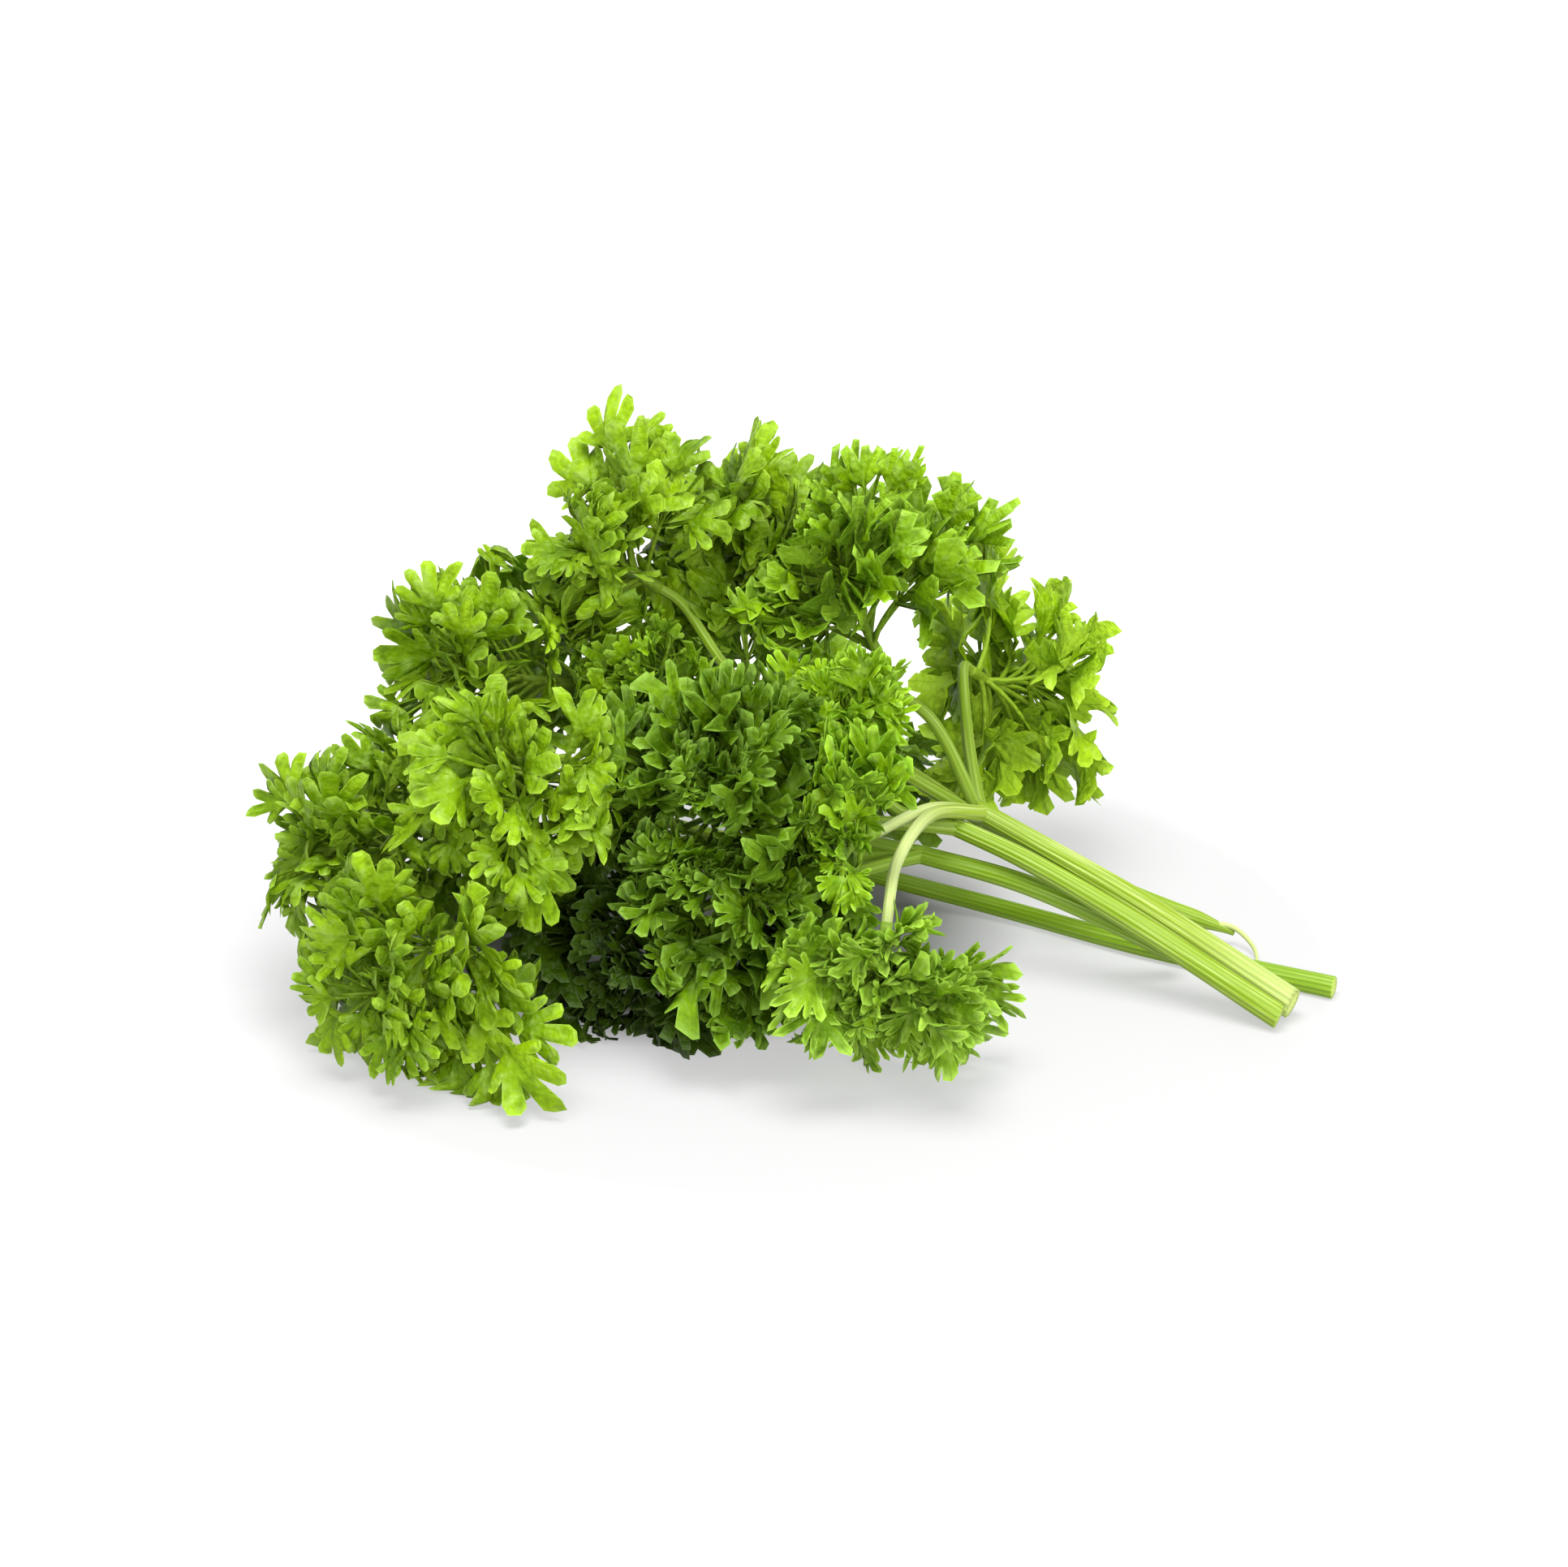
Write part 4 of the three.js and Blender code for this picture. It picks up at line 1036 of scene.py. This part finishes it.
def mottle_group():
    """Plant tissue: a soft patchiness, a fine grain and blisters, all from 0 to 1 about a half."""
    known = bpy.data.node_groups.get("plant_mottle")
    if known:
        return known
    tree = bpy.data.node_groups.new("plant_mottle", "ShaderNodeTree")
    group_sockets(
        tree,
        [("Patch Scale", "NodeSocketFloat", 60.0), ("Grain Scale", "NodeSocketFloat", 900.0)],
        [("Patches", "NodeSocketFloat"), ("Grain", "NodeSocketFloat"), ("Blisters", "NodeSocketFloat")],
    )
    ins = node(tree, "NodeGroupInput")
    outs = node(tree, "NodeGroupOutput")
    place = node(tree, "ShaderNodeTexCoord").outputs["Object"]
    patches = node(tree, "ShaderNodeTexNoise", {
        "Vector": place, "Scale": ins.outputs[0], "Detail": 5.0, "Roughness": 0.62,
    })
    grain = node(tree, "ShaderNodeTexNoise", {"Vector": place, "Scale": ins.outputs[1], "Detail": 2.0})
    tree.links.new(patches.outputs["Fac"], outs.inputs[0])
    tree.links.new(grain.outputs["Fac"], outs.inputs[1])
    blister = node(tree, "ShaderNodeTexNoise", {"Vector": place, "Scale": BLISTER_SCALE, "Detail": 1.0})
    tree.links.new(blister.outputs["Fac"], outs.inputs[2])
    return tree


def vein_group():
    """Leaf veins from the blade's own values: a rib down each leaflet, a vein down each lobe and side veins
    that run off at a slant. Lines keep their width in shares of the leaflet's length."""
    known = bpy.data.node_groups.get("leaf_veins")
    if known:
        return known
    tree = bpy.data.node_groups.new("leaf_veins", "ShaderNodeTree")
    group_sockets(
        tree,
        [("Rib Width", "NodeSocketFloat", 0.05), ("Vein Width", "NodeSocketFloat", 0.04)],
        [("Veins", "NodeSocketFloat"), ("Side Veins", "NodeSocketFloat")],
    )
    ins = node(tree, "NodeGroupInput")
    outs = node(tree, "NodeGroupOutput")
    rib = maths(tree, "DIVIDE", reading(tree, "rib"), ins.outputs[0])
    rib = maths(tree, "SUBTRACT", 1.0, rib, clamp=True)
    vein = maths(tree, "DIVIDE", reading(tree, "vein"), ins.outputs[1])
    vein = maths(tree, "SUBTRACT", 1.0, vein, clamp=True)
    reach = reading(tree, "reach")
    outer = ramp(tree, reach, *VEIN_START)
    vein = maths(tree, "MULTIPLY", vein, outer)
    veins = maths(tree, "MAXIMUM", rib, vein)
    slant = maths(tree, "SUBTRACT", reach, reading(tree, "vein"))
    wave = maths(tree, "SINE", maths(tree, "MULTIPLY", slant, SIDE_VEINS))
    side = ramp(tree, wave, *SIDE_VEIN_LINES)
    tree.links.new(veins, outs.inputs[0])
    tree.links.new(maths(tree, "MULTIPLY", side, outer), outs.inputs[1])
    return tree


def fresh_material(name):
    material = bpy.data.materials.new(name)
    material.use_nodes = True
    tree = material.node_tree
    return material, tree, tree.nodes["Principled BSDF"]


def leaf_material(finish):
    """Young and deep green mixed by leaf, patch and reach, with painted shade at each leaflet's foot and in
    the troughs of its folds and a whitish painted highlight on the crests; lighter veins, a painted highlight
    on the margin, a paler underside, and some of the light let through."""
    name = "parsley_leaf_" + finish
    known = bpy.data.materials.get(name)
    if known:
        return known
    look = LEAF_LOOK
    colours = FINISHES[finish]
    young = colours["young"]
    # The deep green darkened, for painted shade.
    dark = tuple(look["dark"] * c for c in colours["deep"])
    # A whitish green, for a painted highlight on the crests.
    bloom_and_highlight = tuple(look["bloom_and_highlight"] * c + young[1] * added for c, added in zip(young, look["highlight_added"]))
    # The young green lightened, for a painted highlight on the margin.
    lit = tuple(min(1.0, look["lit"] * c + look["lit_added"]) for c in young)
    stem = tuple(look["stem"] * c for c in colours["under"])
    material, tree, surface = fresh_material(name)
    mottle = node(tree, "ShaderNodeGroup", LEAF_SCALES, node_tree=mottle_group())
    patches, grain, blisters = (mottle.outputs[k] for k in range(3))
    lines = node(tree, "ShaderNodeGroup", VEIN_WIDTHS, node_tree=vein_group())
    veins, side_veins = (lines.outputs[k] for k in range(2))
    reach = reading(tree, "reach")
    age = maths(tree, "MULTIPLY_ADD", reading(tree, "tone"), *look["age"])
    age = maths(tree, "MULTIPLY_ADD", reach, look["age_reach"], age)
    age = ramp(tree, centred(tree, patches), look["age_patches"], age)
    green = blend_colours(tree, age, rgba(colours["deep"]), rgba(young))
    # Painted shade at each leaflet's foot.
    green = layer(tree, green, dark, ramp(tree, reach, *look["hollow"]), colours["hollow"])
    raised = maths(tree, "MULTIPLY_ADD", centred(tree, blisters), look["blisters"], reading(tree, "crest"))
    # Painted shade in the troughs of folds and dimples.
    green = layer(tree, green, dark, ramp(tree, raised, *look["sunk_shade"]), look["sunk_shade_share"])
    # A whitish painted highlight on the crests.
    green = layer(tree, green, bloom_and_highlight, ramp(tree, raised, *look["raised"]), look["crest_highlight_share"])
    # A painted highlight along the margin.
    green = layer(tree, green, lit, ramp(tree, reading(tree, "margin"), *look["rim"]), colours["rim"])
    green = layer(tree, green, colours["vein"], veins, look["veins"])
    green = layer(tree, green, colours["deep"], side_veins, look["side_veins"])
    green = layer(tree, green, colours["under"], reading(tree, "under"), look["under"])
    green = layer(tree, green, stem, reading(tree, "stem"), look["stem_share"])
    tree.links.new(green, surface.inputs["Base Color"])
    height = maths(tree, "MULTIPLY", grain, look["grain_height"])
    for part, share in ((veins, "vein_height"), (side_veins, "side_height"), (blisters, "blister_height")):
        height = maths(tree, "MULTIPLY_ADD", part, look[share], height)
    roughen(tree, surface, height, maths(tree, "MULTIPLY_ADD", grain, *look["roughness"]), look)
    glow = blend_colours(tree, 1.0, green, rgba(look["through_tint"]), blend="MULTIPLY")
    through = node(tree, "ShaderNodeBsdfTranslucent", {"Color": glow}).outputs[0]
    shared = node(tree, "ShaderNodeMixShader", {0: look["through"], 1: surface.outputs[0], 2: through})
    tree.links.new(shared.outputs[0], tree.nodes["Material Output"].inputs["Surface"])
    return material


def stalk_material(stage):
    """Ribbed stalk: pale ridges and greener grooves, whitish streaks that are partly its own bloom and partly
    a painted highlight on the ridges, and a cut end with a pale pith in a ring of green bundles, one to a
    rib."""
    look = STALK_LOOK
    material, tree, surface = fresh_material("parsley_stalk")
    mottle = node(tree, "ShaderNodeGroup", STALK_SCALES, node_tree=mottle_group())
    pale, groove, around, core = (reading(tree, key) for key in ("pale", "groove", "around", "core"))
    green = blend_colours(tree, pale, rgba(stage.stalk_green), rgba(stage.stalk_pale))
    deep = blend_colours(tree, 1.0, green, rgba(look["deep"]), blend="MULTIPLY")
    low = maths(tree, "MULTIPLY", maths(tree, "POWER", groove, 2.0), look["groove"])
    green = blend_colours(tree, low, green, deep)
    streak = node(tree, "ShaderNodeCombineXYZ", {
        "X": maths(tree, "MULTIPLY", around, look["streaks_around"]),
        "Y": maths(tree, "MULTIPLY", reading(tree, "along"), look["streaks_along"]),
    })
    fibre = node(tree, "ShaderNodeTexNoise", {"Vector": streak.outputs[0], "Scale": 1.0, "Detail": 3.0})
    fibre = fibre.outputs["Fac"]
    patch = ramp(tree, centred(tree, fibre), *look["patch"])
    patch = maths(tree, "MULTIPLY", patch, ramp(tree, pale, *look["patch_pale"]))
    green = blend_colours(tree, patch, green, deep)
    # Whitish streaks, partly bloom and partly a painted highlight, strongest on the ridges and on the paler
    # stalks.
    bloom_and_highlight = ramp(tree, fibre, *look["bloom_and_highlight"])
    bloom_and_highlight = maths(tree, "MULTIPLY", bloom_and_highlight, ramp(tree, groove, *look["ridge_highlight"]))
    bloom_and_highlight = maths(tree, "MULTIPLY", bloom_and_highlight, ramp(tree, pale, *look["bloom_and_highlight_pale"]))
    bloom_and_highlight = maths(tree, "MAXIMUM", bloom_and_highlight, ramp(tree, pale, *look["whitish"]))
    green = blend_colours(tree, bloom_and_highlight, green, rgba(stage.stalk_bloom_and_highlight))
    pith = ramp(tree, core, *look["pith"])
    cut = blend_colours(tree, pith, rgba(stage.stalk_green), rgba(stage.cut_colour))
    off_rib = centred(tree, maths(tree, "FRACT", maths(tree, "MULTIPLY", around, STALK_RIBS)))
    off_ring = maths(tree, "SUBTRACT", core, look["bundle_ring"])
    off_ring = maths(tree, "MULTIPLY", maths(tree, "MULTIPLY", off_ring, off_ring), look["bundle_flatness"])
    off = maths(tree, "ADD", maths(tree, "MULTIPLY", off_rib, off_rib), off_ring)
    cut = layer(tree, cut, stage.stalk_green, ramp(tree, off, *look["bundle"]), look["bundle_share"])
    green = blend_colours(tree, reading(tree, "cut"), green, cut)
    tree.links.new(green, surface.inputs["Base Color"])
    roughness = maths(tree, "MULTIPLY_ADD", mottle.outputs[1], *look["roughness"])
    roughen(tree, surface, fibre, roughness, look)
    return material


def floor_material(stage):
    """Matt card with a trace of tooth that glows by emission, a painted light that brightens it to plain
    white further out, and a painted shadow under the bunch, where the glow fades out in an oval."""
    material, tree, surface = fresh_material("pale_floor")
    place = node(tree, "ShaderNodeTexCoord").outputs["Object"]
    tooth = node(tree, "ShaderNodeTexNoise", {"Vector": place, "Scale": TOOTH_SCALE}).outputs["Fac"]
    surface.inputs["Base Color"].default_value = rgba(stage.floor_colour)
    out = node(tree, "ShaderNodeVectorMath", {0: place}, operation="LENGTH").outputs["Value"]
    # The glow is a painted light: emission that keeps the floor white near the bunch, lifts its shadows and
    # grows further out.
    glow = maths(tree, "MULTIPLY_ADD", ramp(tree, out, *FLOOR_GLOW), *FLOOR_WHITE)
    # Painted shadow: the glow fades out in an oval under the bunch.
    oval = node(tree, "ShaderNodeVectorMath", {0: place, 1: PAINTED_SHADOW_CENTRE}, operation="SUBTRACT").outputs[0]
    oval = node(tree, "ShaderNodeVectorMath", {0: oval, 1: PAINTED_SHADOW_SPREAD}, operation="MULTIPLY").outputs[0]
    oval = node(tree, "ShaderNodeVectorMath", {0: oval}, operation="LENGTH").outputs["Value"]
    glow = maths(tree, "MULTIPLY", glow, ramp(tree, oval, *PAINTED_SHADOW_RAMP))
    tree.links.new(glow, surface.inputs["Emission Color"])
    surface.inputs["Emission Strength"].default_value = 1.0
    surface.inputs["Roughness"].default_value = 0.8
    bump = node(tree, "ShaderNodeBump", {"Strength": 0.05, "Distance": 0.0002, "Height": tooth})
    tree.links.new(bump.outputs["Normal"], surface.inputs["Normal"])
    return material


# ---- Settings, operators and panel ----
class ParsleyLeafSettings(bpy.types.PropertyGroup):
    thickness: bpy.props.FloatProperty(
        name="Blade Thickness", description="Thickness of a leaf half way along a leaflet",
        default=0.00034, min=0.0001, max=0.001, unit="LENGTH",
    )


class ParsleyStalkSettings(bpy.types.PropertyGroup):
    rib_depth: bpy.props.FloatProperty(
        name="Rib Depth", description="Depth of the grooves between a stalk's ribs, as a share of its radius",
        default=0.07, min=0.0, max=0.4, subtype="FACTOR",
    )
    stalk_green: bpy.props.FloatVectorProperty(
        name="Stalk Green", description="Colour of the greener stalks", subtype="COLOR",
        default=(0.20, 0.34, 0.010), min=0.0, max=1.0,
    )
    stalk_pale: bpy.props.FloatVectorProperty(
        name="Stalk Pale", description="Colour of the paler stalks", subtype="COLOR",
        default=(0.25, 0.335, 0.016), min=0.0, max=1.0,
    )
    # The colour of the whitish streaks, partly bloom and partly painted highlight.
    stalk_bloom_and_highlight: bpy.props.FloatVectorProperty(
        name="Stalk Bloom", description="Colour of the whitish streaks along a stalk", subtype="COLOR",
        default=(0.62, 0.70, 0.33), min=0.0, max=1.0,
    )
    cut_colour: bpy.props.FloatVectorProperty(
        name="Cut Face", description="Colour of the pith in a cut end", subtype="COLOR",
        default=(0.52, 0.62, 0.15), min=0.0, max=1.0,
    )


class ParsleyStageSettings(bpy.types.PropertyGroup):
    floor_colour: bpy.props.FloatVectorProperty(
        name="Floor", description="Colour of the floor and its backdrop", subtype="COLOR",
        default=(0.20, 0.20, 0.20), min=0.0, max=1.0,
    )
    key_power: bpy.props.FloatProperty(
        name="Key Light", description="Power of the large soft light above", default=11.5, min=0.0,
        unit="POWER",
    )
    sky: bpy.props.FloatProperty(
        name="Room Light", description="Strength of the even light of the room", default=0.6, min=0.0,
    )
    lens: bpy.props.FloatProperty(
        name="Lens", description="Focal length of the camera", default=85.0, min=10.0, unit="CAMERA",
    )
    distance: bpy.props.FloatProperty(
        name="Distance", description="From the camera to the middle of the bunch", default=0.593, min=0.1,
        unit="LENGTH",
    )
    elevation: bpy.props.FloatProperty(
        name="Elevation", description="Angle that the camera looks down by", default=math.radians(21),
        unit="ROTATION",
    )


class PARSLEY_OT_stage(bpy.types.Operator):
    """Makes the camera, the soft lights, the room's even light and the pale floor"""

    bl_idname = "parsley.stage"
    bl_label = "Stage"

    def execute(self, context):
        stage = context.scene.parsley_stage
        self.add_camera(context, stage)
        self.add_lights(context, stage)
        self.add_floor(context, stage)
        return {"FINISHED"}

    def add_camera(self, context, stage):
        aim = Vector(CAMERA_AIM) - Vector(BUNCH_CENTRE * MM)
        back = Vector((0.0, -math.cos(stage.elevation), math.sin(stage.elevation)))
        camera = bpy.data.objects.new("camera", bpy.data.cameras.new("camera"))
        camera.data.lens = stage.lens
        camera.data.sensor_width = SENSOR_WIDTH
        camera.data.clip_start = 0.01
        camera.location = aim + back * stage.distance
        camera.rotation_mode = "QUATERNION"
        camera.rotation_quaternion = (-back).to_track_quat("-Z", "Y")
        context.scene.collection.objects.link(camera)
        context.scene.camera = camera

    def add_lights(self, context, stage):
        for name, plan in LAMPS.items():
            lamp = bpy.data.objects.new(name, bpy.data.lights.new(name, "AREA"))
            lamp.data.shape = "DISK"
            lamp.data.size = plan["size"]
            lamp.data.energy = stage.key_power * plan["share"]
            lamp.location = plan["place"]
            lamp.rotation_mode = "QUATERNION"
            lamp.rotation_quaternion = (-Vector(plan["place"])).to_track_quat("-Z", "Y")
            context.scene.collection.objects.link(lamp)
        world = bpy.data.worlds.new("room")
        world.use_nodes = True
        background = world.node_tree.nodes["Background"]
        background.inputs["Color"].default_value = (1.0, 1.0, 1.0, 1.0)
        background.inputs["Strength"].default_value = stage.sky
        context.scene.world = world
        context.scene.view_settings.view_transform = "Standard"

    def add_floor(self, context, stage):
        """A round dish: flat out to FLOOR_FLAT, and then rising with the square of the way further out."""
        radius = np.linspace(*FLOOR_RADII, FLOOR_RINGS)[:, None]
        turn = np.linspace(0, 2 * np.pi, FLOOR_SIDES, endpoint=False)
        shape = (FLOOR_RINGS, FLOOR_SIDES)
        height = np.broadcast_to(FLOOR_RISE * np.maximum(radius - FLOOR_FLAT, 0) ** 2, shape)
        grid = np.stack([radius * np.cos(turn), radius * np.sin(turn), height], axis=-1).reshape(-1, 3)
        points = np.vstack([grid, [[0.0, 0.0, 0.0]]])
        index = np.arange(len(grid)).reshape(shape)
        nexts = np.roll(index, -1, axis=1)
        quads = np.stack([index[:-1], index[1:], nexts[1:], nexts[:-1]], axis=-1).reshape(-1, 4)
        middle = np.stack([np.full(FLOOR_SIDES, len(grid)), index[0], nexts[0]], axis=-1)
        mesh = bpy.data.meshes.new("floor")
        mesh.from_pydata(points.tolist(), [], quads.tolist() + middle.tolist())
        mesh.polygons.foreach_set("use_smooth", np.ones(len(mesh.polygons), bool))
        mesh.materials.append(floor_material(stage))
        floor = bpy.data.objects.new("floor", mesh)
        context.scene.collection.objects.link(floor)


class PARSLEY_OT_stalks(bpy.types.Operator):
    """Grows the ribbed leaf stalks with their branches and cut ends"""

    bl_idname = "parsley.stalks"
    bl_label = "Stalks"

    def execute(self, context):
        settings = context.scene.parsley_stalk
        material = stalk_material(settings)
        for name in STALKS:
            stalk_piece(name, settings.rib_depth, material)
        return {"FINISHED"}


class PARSLEY_OT_sprays(bpy.types.Operator):
    """Grows the sprays of leaf of one habit"""

    bl_idname = "parsley.sprays"
    bl_label = "Sprays"

    habit: bpy.props.EnumProperty(
        name="Habit", description="Cut of the leaves to grow",
        items=[
            ("open", "Open", "Broad rounded lobes"),
            ("webbed", "Webbed", "Broad leaves with short lobes"),
            ("far", "Far", "Open leaves at the back, with fewer faces"),
            ("dense", "Dense", "Many small lobed leaflets"),
            ("feathery", "Feathery", "Narrow lobes that curl"),
            ("crisp", "Crisp", "Small leaflets with tightly ruffled margins"),
        ],
    )

    def execute(self, context):
        thickness = context.scene.parsley_leaf.thickness / MM
        for index, (name, spray) in enumerate(SPRAYS.items()):
            if spray["habit"] == self.habit:
                spray_piece(name, index + 1, thickness)
        return {"FINISHED"}


class PARSLEY_PT_panel(bpy.types.Panel):
    """Lists the settings of the bunch and the steps that build it"""

    bl_idname = "PARSLEY_PT_panel"
    bl_label = "Curly Parsley"
    bl_space_type = "VIEW_3D"
    bl_region_type = "UI"
    bl_category = "Parsley"

    def draw(self, context):
        layout = self.layout
        for group in (context.scene.parsley_stage, context.scene.parsley_stalk, context.scene.parsley_leaf):
            box = layout.box()
            for name in group.__annotations__:
                box.prop(group, name)
        layout.operator("parsley.stage")
        layout.operator("parsley.stalks")
        for habit in HABITS:
            layout.operator("parsley.sprays", text=habit.title() + " Sprays").habit = habit


CLASSES = (
    ParsleyLeafSettings, ParsleyStalkSettings, ParsleyStageSettings,
    PARSLEY_OT_stage, PARSLEY_OT_stalks, PARSLEY_OT_sprays, PARSLEY_PT_panel,
)


def register():
    for cls in CLASSES:
        bpy.utils.register_class(cls)
    bpy.types.Scene.parsley_leaf = bpy.props.PointerProperty(type=ParsleyLeafSettings)
    bpy.types.Scene.parsley_stalk = bpy.props.PointerProperty(type=ParsleyStalkSettings)
    bpy.types.Scene.parsley_stage = bpy.props.PointerProperty(type=ParsleyStageSettings)


def unregister():
    del bpy.types.Scene.parsley_stage
    del bpy.types.Scene.parsley_stalk
    del bpy.types.Scene.parsley_leaf
    for cls in reversed(CLASSES):
        bpy.utils.unregister_class(cls)


def main():
    register()
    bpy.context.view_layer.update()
    bpy.ops.parsley.stage()
    bpy.ops.parsley.stalks()
    for habit in HABITS:
        bpy.ops.parsley.sprays(habit=habit)
    bpy.context.view_layer.update()


if __name__ == "__main__":
    main()
